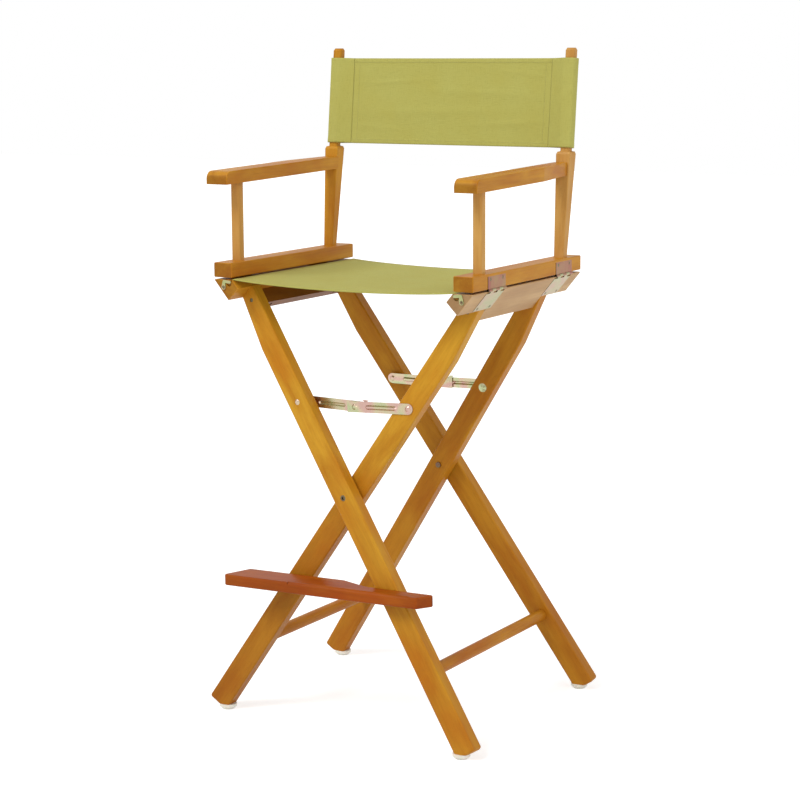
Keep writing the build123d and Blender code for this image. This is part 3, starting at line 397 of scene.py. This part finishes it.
woodPieces = {
    "outer_front_leg": ("honey", "leansLeft"), "outer_rear_leg": ("brown", "leansLeft"),
    "inner_front_leg": ("honey", "leansRight"), "inner_rear_leg": ("brown", "leansRight"),
    "left_seat_rail": ("amber", "alongRail"), "right_seat_rail": ("beige", "alongRail"),
    # painted shade: the left apron takes the dark tone for the shade under the seat cloth
    "left_apron": ("dark", "alongRail"), "right_apron": ("beige", "alongRail"),
    "left_stretcher": ("amber", "alongRail"), "right_stretcher": ("amber", "alongRail"),
    "footrest": ("ruddy", "acrossChair"), "footrest_peg": ("amber", "alongRail"),
    "left_arm_rail": ("amber", "alongRail"), "right_arm_rail": ("amber", "alongRail"),
    "left_armrest": ("amber", "alongRail"), "right_armrest": ("amber", "alongRail"),
    "left_front_post": ("tan", "up"), "right_front_post": ("tan", "up"),
    "left_back_post": ("amber", "up"), "right_back_post": ("tan", "up"),
    "left_seat_dowel": ("amber", "alongRail"), "right_seat_dowel": ("amber", "alongRail"),
}
metalPieces = {
    zincPale: ["left_upper_hinge_leaves", "left_lower_hinge_leaves", "right_lower_hinge_leaves",
               "left_hinge_pins", "right_hinge_pins"],
    zincClip: ["front_left_seat_clip", "front_right_seat_clip", "rear_left_seat_clip",
               "rear_right_seat_clip", "pivot_spacers"],
    zincPink: ["right_upper_hinge_leaves"],
    zincSteel: ["front_left_brace_link", "front_right_brace_link", "rear_left_brace_link",
                "rear_right_brace_link", "front_brace_rivet", "rear_brace_rivet",
                "outer_brace_pins", "inner_brace_pins"],
    zincDark: ["pivot_bolts", "pivot_nuts", "left_rail_bolts", "right_rail_bolts"],
    glidePlastic: ["left_glides", "right_glides"],
}


def finish(node, material):
    mesh = nodes[node].data
    if mesh.materials:
        for spot in range(len(mesh.materials)):
            mesh.materials[spot] = material
    else:
        mesh.materials.append(material)


for index, (piece, (tone, grain)) in enumerate(sorted(woodPieces.items())):
    finish(piece, woodMaterial(piece, tone, grain, (0.37 * index, 0.21 * index, 0.53 * index)))
for metal, pieceNames in metalPieces.items():
    for piece in pieceNames:
        finish(piece, metal)
print("wood and metal on", len(woodPieces) + sum(len(names) for names in metalPieces.values()), "nodes")


# mesh helpers
sharpFrom = dict(cloth=0.9, screws=0.5)  # an edge stays sharp from this angle on, in radians


def pieceFrom(mesh, name, material, body):
    built = bpy.data.meshes.new(name)
    mesh.to_mesh(built)
    mesh.free()
    for face in built.polygons:
        face.use_smooth = True
    built.materials.append(material)
    made = bpy.data.objects.new(name, built)
    bpy.context.scene.collection.objects.link(made)
    if body:
        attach(made, body)
    return made


def clothShell(middleAt, thickAt, stepsAcross, stepsAlong, runAcross, runAlong):
    # a closed thin shell on both sides of a middle surface; the UV map holds the cloth's run in metres
    shell = bmesh.new()
    clothRun = shell.loops.layers.uv.new("clothRun")
    nudge = 0.002
    sides = []
    for side in (-1, 1):
        rows = []
        for i in range(stepsAcross + 1):
            row = []
            for j in range(stepsAlong + 1):
                a, b = i / stepsAcross, j / stepsAlong
                here = middleAt(a, b)
                acrossWay = middleAt(min(a + nudge, 1), b) - middleAt(max(a - nudge, 0), b)
                alongWay = middleAt(a, min(b + nudge, 1)) - middleAt(a, max(b - nudge, 0))
                out = acrossWay.cross(alongWay).normalized()
                row.append(shell.verts.new(here + out * thickAt(a, b, side) * side))
            rows.append(row)
        sides.append(rows)

    def addFace(corners, spots, smooth=True):
        face = shell.faces.new(corners)
        face.smooth = smooth
        for loop, (a, b) in zip(face.loops, spots):
            loop[clothRun].uv = (a / stepsAcross * runAcross, b / stepsAlong * runAlong)

    for rows, flip in zip(sides, (True, False)):
        for i in range(stepsAcross):
            for j in range(stepsAlong):
                spots = [(i, j), (i + 1, j), (i + 1, j + 1), (i, j + 1)]
                if flip:
                    spots.reverse()
                addFace([rows[a][b] for a, b in spots], spots)
    ring = [(i, 0) for i in range(stepsAcross)] + [(stepsAcross, j) for j in range(stepsAlong)]
    ring += [(i, stepsAlong) for i in range(stepsAcross, 0, -1)]
    ring += [(0, j) for j in range(stepsAlong, 0, -1)]
    back, front = sides
    for first, second in zip(ring, ring[1:] + ring[:1]):
        corners = [back[first[0]][first[1]], back[second[0]][second[1]],
                   front[second[0]][second[1]], front[first[0]][first[1]]]
        addFace(corners, [first, second, second, first])
    for i, j in ring:
        for rows in sides:
            for edge in rows[i][j].link_edges:
                if edge.calc_face_angle(0) > sharpFrom["cloth"]:
                    edge.smooth = False
    shell.normal_update()
    return shell


def addStitch(rows, centre, along, out, length, radius):
    # one raised dash of thread, half sunk in the cloth
    side = along.cross(out).normalized()
    rings = []
    for reach, width in ((-0.5, 0.35), (-0.32, 1.0), (0.32, 1.0), (0.5, 0.35)):
        ring = []
        for step in range(6):
            turn = math.tau * step / 6
            offset = side * math.cos(turn) + out * math.sin(turn)
            ring.append(rows.verts.new(centre + along * length * reach + offset * radius * width))
        rings.append(ring)
    for first, second in zip(rings, rings[1:]):
        for step in range(6):
            after = (step + 1) % 6
            rows.faces.new([first[step], first[after], second[after], second[step]])
    rows.faces.new(list(reversed(rings[0])))
    rows.faces.new(rings[-1])


def stitchLine(rows, pointAt, outAt, length, stitchLook):
    # dashes along a line whose place and outward side are given at a share of its run
    pitch = stitchLook["long"] + stitchLook["gap"]
    count = int(length / pitch)
    for number in range(count):
        share = (number + 0.5) / count
        centre = pointAt(share)
        along = (pointAt(min(share + 0.004, 1)) - pointAt(max(share - 0.004, 0))).normalized()
        addStitch(rows, centre, along, outAt(share), stitchLook["long"], stitchLook["thick"])


def bell(value, middle, width):
    return math.exp(-((value - middle) / width) ** 2)


# the seat: one stretched sheet with a sleeve round a dowel in each rail
seatCloth = dict(
    half=0.8 * mm, sag=7.0 * mm, dowel=3.0 * mm, loopTurn=math.radians(320), loopLap=math.radians(8),
    edgeFromDowel=6.6 * mm, neckLift=0.4 * mm, cornerIn=0.6 * mm, cornerDown=0.5 * mm,
    hem=11 * mm, hemExtra=0.55 * mm, pullWave=0.5 * mm, pullReach=0.07, edgeDip=1.2 * mm, edgeDipWide=0.05,
    loopSteps=22, spanSteps=52, stepsAcross=150, stepsAlong=60,
)
seatLow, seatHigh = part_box("seat_sling")
seatMiddleY = (seatLow.y + seatHigh.y) / 2
seatDepth = seatHigh.y - seatLow.y
dowelLow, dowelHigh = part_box("left_seat_dowel")
dowelX = (dowelLow.x + dowelHigh.x) / 2
dowelZ = (dowelLow.z + dowelHigh.z) / 2
edgeX = dowelX + seatCloth["edgeFromDowel"]  # the rail's inner top corner, where the cloth leaves the wood
edgeZ = seatHigh.z - seatCloth["half"]


def seatRun():
    # the left half of the cloth's line in x and z, from inside the sleeve to the middle of the seat
    points = []
    loop = seatCloth["dowel"] + seatCloth["half"]
    neckTurn = math.atan2(edgeZ - dowelZ, edgeX - dowelX)
    loopSteps, spanSteps = seatCloth["loopSteps"], seatCloth["spanSteps"]
    for step in range(loopSteps + 1):
        turn = neckTurn - seatCloth["loopTurn"] * (1 - step / loopSteps) + seatCloth["loopLap"]
        points.append((dowelX + loop * math.cos(turn), dowelZ + loop * math.sin(turn)))
    points.append(((dowelX + edgeX) / 2, (dowelZ + edgeZ) / 2 + seatCloth["neckLift"]))
    points.append((edgeX - seatCloth["cornerIn"], edgeZ - seatCloth["cornerDown"]))
    for step in range(spanSteps + 1):
        x = edgeX * (1 - step / spanSteps)
        points.append((x, edgeZ - seatCloth["sag"] * (1 - (x / edgeX) ** 2)))
    return points


def measured(points):
    # running length at every point of a line
    lengths = [0.0]
    for first, second in zip(points, points[1:]):
        lengths.append(lengths[-1] + math.dist(first, second))
    return lengths


seatLeft = seatRun()
seatLine = seatLeft + [(-x, z) for x, z in reversed(seatLeft[:-1])]
seatLengths = measured(seatLine)


def alongLine(points, lengths, share):
    wanted = share * lengths[-1]
    for spot in range(1, len(points)):
        if lengths[spot] >= wanted or spot == len(points) - 1:
            part = (wanted - lengths[spot - 1]) / max(lengths[spot] - lengths[spot - 1], 1e-9)
            first, second = points[spot - 1], points[spot]
            return [first[k] + (second[k] - first[k]) * part for k in range(len(first))]


def seatMiddle(a, b):
    x, z = alongLine(seatLine, seatLengths, a)
    y = seatMiddleY + seatDepth * (b - 0.5)
    open_ = max(0.0, 1 - (x / edgeX) ** 8) if abs(x) < abs(edgeX) else 0.0
    ends = bell(b, 0, seatCloth["edgeDipWide"]) + bell(b, 1, seatCloth["edgeDipWide"])
    z -= seatCloth["edgeDip"] * ends * open_
    tension = noise.noise(Vector((x * 9, y * 34, 0.3))) * bell(abs(x), abs(edgeX), seatCloth["pullReach"])
    z += seatCloth["pullWave"] * tension * open_
    return Vector((x, y, z))


def seatThick(a, b, side):
    fromEnd = min(b, 1 - b) * seatDepth
    hem = seatCloth["hemExtra"] / (1 + math.exp((fromEnd - seatCloth["hem"]) / (0.5 * mm)))
    inGroove = abs(alongLine(seatLine, seatLengths, a)[0]) > abs(edgeX) - 1 * mm
    return seatCloth["half"] + (0 if inGroove or side > 0 else hem) - (0.15 * mm if inGroove else 0)


seatShell = clothShell(
    seatMiddle, seatThick, seatCloth["stepsAcross"], seatCloth["stepsAlong"], seatLengths[-1], seatDepth,
)
seat = pieceFrom(seatShell, "seat_cloth", canvas, None)
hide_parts("seat_sling")
seatStitch = dict(long=2.6 * mm, gap=0.9 * mm, thick=0.32 * mm, fromHem=2 * mm, start=0.065, stop=0.935)
seatThreads = bmesh.new()
fromEdge = (seatCloth["hem"] - seatStitch["fromHem"]) / seatDepth
start, stop = seatStitch["start"], seatStitch["stop"]
for b in (fromEdge, 1 - fromEdge):
    stitchLine(
        seatThreads,
        lambda share: seatMiddle(start + (stop - start) * share, b) + Vector((0, 0, seatCloth["half"])),
        lambda share: Vector((0, 0, 1)),
        seatLengths[-1] * (stop - start),
        seatStitch,
    )
seatSewing = pieceFrom(seatThreads, "seat_hem_stitches", thread, None)
for piece in (seat, seatSewing):
    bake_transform(piece)
print("seat cloth made,", round(seatLengths[-1] * 1000), "x", round(seatDepth * 1000), "mm flat")


# the back: a panel between two sleeves that slip over the back posts
backCloth = dict(
    rake=math.radians(6.2), height=154.4 * mm, half=0.6 * mm, seamFromPost=35 * mm, reach=12.8 * mm,
    loopHalf=9.7 * mm, loopSteps=8, loopCurve=1.12, loopLift=0.25 * mm, turnRadius=5.5 * mm,
    postHalf=9.0 * mm, slackFrom=16 * mm, slackHigh=0.8 * mm, slackWide=0.02,
    doubled=13 * mm, hem=8.5 * mm, hemExtra=0.5 * mm, hemEase=0.35 * mm, belly=2.5 * mm,
    pucker=0.35 * mm, drift=0.7 * mm, panelSteps=(180, 70), sleeveSteps=(64, 56),
)
rows = dict(outer=0.4 * mm, inner=12 * mm)  # from the sleeve seam towards the middle
wrinkles = [  # faint creases: middle across and up, half length, half width, height, slope
    dict(x=-0.120, v=0.112, long=0.060, wide=0.004, high=0.8 * mm, slope=0.06),
    dict(x=0.060, v=0.094, long=0.090, wide=0.006, high=0.7 * mm, slope=-0.03),
    dict(x=-0.030, v=0.060, long=0.110, wide=0.007, high=0.8 * mm, slope=0.02),
    dict(x=0.120, v=0.040, long=0.070, wide=0.005, high=0.7 * mm, slope=0.05),
    dict(x=-0.150, v=0.030, long=0.050, wide=0.005, high=0.6 * mm, slope=-0.08),
    dict(x=0.150, v=0.128, long=0.045, wide=0.004, high=0.6 * mm, slope=-0.10),
]
backLow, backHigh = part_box("back_sling")
backCentre = (backLow + backHigh) / 2
upPost = Vector((0, math.sin(backCloth["rake"]), math.cos(backCloth["rake"])))
outFront = Vector((0, -math.cos(backCloth["rake"]), math.sin(backCloth["rake"])))
postX = backHigh.x - backCloth["reach"]
seamX = postX - backCloth["seamFromPost"]


def backPlace(x, out, v):
    # x across, out from the posts' middle plane towards the front, v up along the posts
    return Vector((x, backCentre.y, backCentre.z)) + outFront * out + upPost * (v - backCloth["height"] / 2)


def panelOut(x, v):
    out = -backCloth["belly"] * (1 - (x / seamX) ** 2)
    for crease in wrinkles:
        line = v - crease["v"] - crease["slope"] * (x - crease["x"])
        out += crease["high"] * bell(line, 0, crease["wide"]) * bell(x, crease["x"], crease["long"])
    hold = 1 - bell(abs(x), seamX, 0.010)
    pucker = noise.noise(Vector((x * 26, v * 150, 2.0))) * bell(abs(x), seamX - 0.012, 0.022)
    drift = noise.noise(Vector((x * 7, v * 26, 5.0)))
    return out * hold + (backCloth["pucker"] * pucker + backCloth["drift"] * drift) * hold


def panelMiddle(a, b):
    x = -seamX + 2 * seamX * a
    v = b * backCloth["height"]
    return backPlace(x, panelOut(x, v), v)


def hemStep(v):
    fromEnd = min(v, backCloth["height"] - v)
    return backCloth["hemExtra"] / (1 + math.exp((fromEnd - backCloth["hem"]) / backCloth["hemEase"]))


def panelThick(a, b, side):
    past = seamX - abs(-seamX + 2 * seamX * a) - backCloth["doubled"]
    doubled = backCloth["half"] * 1.2 / (1 + math.exp(past / backCloth["hemEase"]))
    hem = hemStep(b * backCloth["height"])
    if side < 0:  # the rear side carries the turned-in cloth
        return backCloth["half"] + hem * 0.6 + doubled
    return backCloth["half"] + hem


panelShell = clothShell(panelMiddle, panelThick, *backCloth["panelSteps"], 2 * seamX, backCloth["height"])
panel = pieceFrom(panelShell, "back_panel", canvas, "left_arm")


def sleeveRun():
    # half of the loop round a post, from the seam at the front to the outer turn; the other half mirrors it
    thick, half, seam = backCloth["half"], backCloth["loopHalf"], backCloth["seamFromPost"]
    steps, turnRadius = backCloth["loopSteps"], backCloth["turnRadius"]
    line = [(-seam, thick)]
    for step in range(1, steps + 1):
        share = step / steps
        out = thick + (half - thick) * share ** backCloth["loopCurve"]
        line.append((-seam + (seam - backCloth["postHalf"]) * share, out))
    line.append((0, half + backCloth["loopLift"]))
    turnCentre = backCloth["reach"] - thick - turnRadius
    for step in range(0, steps + 1):
        turn = math.pi / 2 * (1 - step / steps)
        line.append((turnCentre + turnRadius * math.cos(turn), half * math.sin(turn)))
    return line


sleeveHalf = sleeveRun()
sleeveLine = sleeveHalf + [(x, -out) for x, out in reversed(sleeveHalf[:-1])]
sleeveLengths = measured(sleeveLine)


def sleeveSurface(side):
    def middleAt(a, b):
        across, out = alongLine(sleeveLine, sleeveLengths, a)
        v = b * backCloth["height"]
        free = min(1.0, max(0.0, (across + backCloth["seamFromPost"]) / backCloth["slackFrom"]))
        slack = 0.5 + 0.5 * noise.noise(Vector((a * 5 + side * 3, v * 38, 9.0)))
        ruck = backCloth["slackHigh"] * slack * free
        grow = 1 + ruck / backCloth["loopHalf"]
        spread = max(across, 0) * backCloth["slackWide"] * slack
        return backPlace(side * (postX + across + spread), out * grow, v)
    return middleAt


def sleeveThick(a, b, side):
    return backCloth["half"] + hemStep(b * backCloth["height"]) * (0.4 if side > 0 else 0.5)


for side, body, label in ((-1, "left_arm", "left"), (1, "right_arm", "right")):
    shell = clothShell(
        sleeveSurface(side), sleeveThick, *backCloth["sleeveSteps"], sleeveLengths[-1], backCloth["height"],
    )
    pieceFrom(shell, label + "_back_sleeve", canvas, body)
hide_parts("back_sling")

backStitch = dict(long=2.6 * mm, gap=1.0 * mm, thick=0.36 * mm, lift=0.1 * mm, fromHem=1.5 * mm)
backThreads = bmesh.new()


def sewnAt(x, v, lift):
    return backPlace(x, panelOut(x, v) + backCloth["half"] + lift, v)


for side in (-1, 1):
    for inward in rows.values():
        x = side * (seamX - inward)
        stitchLine(
            backThreads,
            lambda share: sewnAt(x, share * backCloth["height"], backStitch["lift"]),
            lambda share: outFront,
            backCloth["height"],
            backStitch,
        )
hemRow = backCloth["hem"] - backStitch["fromHem"]
for v in (hemRow, backCloth["height"] - hemRow):
    stitchLine(
        backThreads,
        lambda share: sewnAt(seamX * (2 * share - 1), v, backCloth["hemExtra"]),
        lambda share: outFront,
        2 * seamX,
        backStitch,
    )
backSewing = pieceFrom(backThreads, "back_stitches", thread, "left_arm")
for piece in (panel, backSewing):
    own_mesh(piece)


# screws with a cross recess, in place of the plain ones
def solidsOf(node):
    # the node's separate solids, as lists of points; split vertices in one place count as one
    mesh = nodes[node].data
    owner = {}

    def root(key):
        while owner[key] != key:
            owner[key] = owner[owner[key]]
            key = owner[key]
        return key

    keys = [tuple(round(part * 1e6) for part in vertex.co) for vertex in mesh.vertices]
    for key in keys:
        owner[key] = key
    for face in mesh.polygons:
        corners = [root(keys[v]) for v in face.vertices]
        for other in corners[1:]:
            owner[root(other)] = root(corners[0])
    groups = {}
    for key, vertex in zip(keys, mesh.vertices):
        groups.setdefault(root(key), set()).add(key)
    return [[Vector(key) / 1e6 for key in sorted(group)] for group in sorted(groups.values(), key=min)]


def longWay(points):
    # the middle and long direction of a turned piece, pointing out of its head
    middle = sum(points, Vector()) / len(points)
    far = max(points, key=lambda p: (p - middle).length)
    way = (far - middle).normalized()
    for _ in range(30):
        total = Vector()
        for point in points:
            arm = point - middle
            total += arm * arm.dot(way)
        way = total.normalized()
    low = min((p - middle).dot(way) for p in points)
    high = max((p - middle).dot(way) for p in points)

    def widthNear(level):
        near = [p for p in points if abs((p - middle).dot(way) - level) < 0.2 * mm]
        return max(((p - middle) - way * (p - middle).dot(way)).length for p in near)

    if widthNear(low) > widthNear(high):
        way, low, high = -way, -high, -low
    ring = [p for p in points if abs((p - middle).dot(way) - high) < 0.2 * mm]
    rim = max(((p - middle) - way * (p - middle).dot(way)).length for p in ring)
    crown = sum(ring, Vector()) / len(ring)
    return crown, way, rim, high - low


screwLook = dict(
    sides=32, sink=0.05 * mm,
    recess=0.62, blade=0.255, deep=0.42, ease=0.12, shank=0.47, point=0.4,  # shares of the head's radius
    taper=0.55, floorDrop=1.15,  # the foot of the cross against its mouth, and its middle against its depth
    arm=0.30, web=0.12,  # half width of an arm, and how far the cross spreads between two arms
)


def screwHead(into, crown, way, rim, length, turn):
    # flat countersunk head whose cross is sunk into it, down to the shank
    look = screwLook
    upright = way.to_track_quat("Z", "Y").to_matrix().to_4x4()
    place = Matrix.Translation(crown - way * look["sink"]) @ upright @ Matrix.Rotation(turn, 4, "Z")
    sides = look["sides"]
    arms = sides // 4

    def star(step, size):  # the cross outline: long on the four arms and short between them
        phase = (step % arms) / arms
        near = min(phase, 1 - phase) * 2
        return rim * (size if near < look["arm"] else look["blade"] + (size - look["blade"]) * look["web"])

    outline = [
        ([rim * (1 - look["ease"])] * sides, 0.0),
        ([star(step, look["recess"]) for step in range(sides)], 0.0),
        ([star(step, look["recess"] * look["taper"]) for step in range(sides)], -rim * look["deep"]),
    ]
    shank = rim * look["shank"]
    below = [
        ([rim] * sides, -rim * look["ease"]),
        ([shank] * sides, -shank),
        ([shank] * sides, -length + rim * look["point"]),
    ]

    def ring(radii, height):
        made = []
        for step, radius in enumerate(radii):
            angle = math.tau * step / sides
            spot = Vector((radius * math.cos(angle), radius * math.sin(angle), height))
            made.append(into.verts.new(place @ spot))
        return made

    rings = [ring(*level) for level in reversed(below)] + [ring(*level) for level in outline]
    for first, second in zip(rings, rings[1:]):
        for step in range(sides):
            after = (step + 1) % sides
            into.faces.new([first[step], first[after], second[after], second[step]])
    tip = into.verts.new(place @ Vector((0, 0, -length)))
    floor = into.verts.new(place @ Vector((0, 0, -rim * look["deep"] * look["floorDrop"])))
    for step in range(sides):
        after = (step + 1) % sides
        into.faces.new([rings[0][after], rings[0][step], tip])
        into.faces.new([rings[-1][step], rings[-1][after], floor])


screwNodes = [name for name in sorted(nodes) if name.endswith("screws") or name.endswith("armrest_screw")]
for name in screwNodes:
    heads = bmesh.new()
    for points in solidsOf(name):
        crown, way, rim, length = longWay(points)
        screwHead(heads, crown, way, rim, length, random.uniform(0, math.pi / 2))
    for edge in heads.edges:
        if edge.calc_face_angle(0) > sharpFrom["screws"]:
            edge.smooth = False
    made = pieceFrom(heads, name + "_cross", screwZinc, nodes[name]["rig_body"])
    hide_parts(name)
print("screws made for", len(screwNodes), "nodes")


# floor, background and lamps
studio = dict(
    floorSize=14.0, floorColour=(0.86, 0.86, 0.86, 1), floorGlow=0.46, skyForObject=0.62, keyStrength=1.25,
    keyAngle=math.radians(24), keyFrom=(-0.35, -0.85, 1.0), fillStrength=0.62, fillFrom=(1.0, -0.35, 0.45),
    fillAngle=math.radians(40),
)


def seenByRays(tree):  # 1 where a camera, glossy or transmission ray looks, else 0
    rays = tree.nodes.new("ShaderNodeLightPath")
    seen = rays.outputs["Is Camera Ray"]
    for kind in ("Is Glossy Ray", "Is Transmission Ray"):
        either = tree.nodes.new("ShaderNodeMath")
        either.operation = "MAXIMUM"
        tree.links.new(seen, either.inputs[0])
        tree.links.new(rays.outputs[kind], either.inputs[1])
        seen = either.outputs[0]
    return seen


def floorMaterial():
    material = bpy.data.materials.new("studio_floor")
    material.use_nodes = True
    tree = material.node_tree
    tree.nodes.clear()
    out = tree.nodes.new("ShaderNodeOutputMaterial")
    matt = tree.nodes.new("ShaderNodeBsdfDiffuse")
    matt.inputs["Color"].default_value = studio["floorColour"]
    glow = tree.nodes.new("ShaderNodeEmission")
    level = tree.nodes.new("ShaderNodeMath")
    level.operation = "MULTIPLY"
    level.inputs[1].default_value = studio["floorGlow"]
    tree.links.new(seenByRays(tree), level.inputs[0])
    tree.links.new(level.outputs[0], glow.inputs["Strength"])
    both = tree.nodes.new("ShaderNodeAddShader")
    tree.links.new(matt.outputs[0], both.inputs[0])
    tree.links.new(glow.outputs[0], both.inputs[1])
    tree.links.new(both.outputs[0], out.inputs["Surface"])
    return material


floorMesh = bmesh.new()
bmesh.ops.create_grid(floorMesh, x_segments=1, y_segments=1, size=studio["floorSize"])
floorData = bpy.data.meshes.new("studio_floor")
floorMesh.to_mesh(floorData)
floorMesh.free()
floorData.materials.append(floorMaterial())
floor = bpy.data.objects.new("studio_floor", floorData)
floor.location.z = cadLow[2]
bpy.context.scene.collection.objects.link(floor)

world = bpy.data.worlds.new("studio_white")
bpy.context.scene.world = world
world.use_nodes = True
sky = world.node_tree
sky.nodes.clear()
skyOut = sky.nodes.new("ShaderNodeOutputWorld")
plain = sky.nodes.new("ShaderNodeBackground")
plain.inputs["Color"].default_value = (1, 1, 1, 1)
plain.inputs["Strength"].default_value = studio["skyForObject"]
white = sky.nodes.new("ShaderNodeBackground")
white.inputs["Color"].default_value = (1, 1, 1, 1)
white.inputs["Strength"].default_value = 1.0
choose = sky.nodes.new("ShaderNodeMixShader")
sky.links.new(seenByRays(sky), choose.inputs[0])
sky.links.new(plain.outputs[0], choose.inputs[1])
sky.links.new(white.outputs[0], choose.inputs[2])
sky.links.new(choose.outputs[0], skyOut.inputs["Surface"])


def softSun(name, comesFrom, strength, spread):
    data = bpy.data.lights.new(name, "SUN")
    data.energy = strength
    data.angle = spread
    lamp = bpy.data.objects.new(name, data)
    lamp.rotation_euler = Vector(comesFrom).to_track_quat("Z", "Y").to_euler()
    bpy.context.scene.collection.objects.link(lamp)


softSun("key_lamp", studio["keyFrom"], studio["keyStrength"], studio["keyAngle"])
softSun("fill_lamp", studio["fillFrom"], studio["fillStrength"], studio["fillAngle"])
print("floor, background and lamps set")


# camera, at the photograph's viewing angle
lens = dict(place=(1.8675, -3.1596, 1.1724), forward=(-0.5022, 0.8489, -0.1647), roll=math.radians(-0.35),
            length=95.39, shiftX=1 / 800, shiftY=-7 / 800)
forward = Vector(lens["forward"]).normalized()
levelRight = forward.cross(Vector((0, 0, 1))).normalized()
levelUp = levelRight.cross(forward)
right = levelRight * math.cos(lens["roll"]) + levelUp * math.sin(lens["roll"])
up = right.cross(forward)
cameraData = bpy.data.cameras.new("photo_camera")
cameraData.lens = lens["length"]
cameraData.sensor_width = 36
cameraData.shift_x = lens["shiftX"]
cameraData.shift_y = lens["shiftY"]
cameraData.clip_end = 60
camera = bpy.data.objects.new("photo_camera", cameraData)
turned = Matrix((right, up, -forward)).transposed().to_4x4()
camera.matrix_world = Matrix.Translation(Vector(lens["place"])) @ turned
bpy.context.scene.collection.objects.link(camera)
bpy.context.scene.camera = camera
bpy.context.scene.view_settings.view_transform = "Standard"
print("camera set")
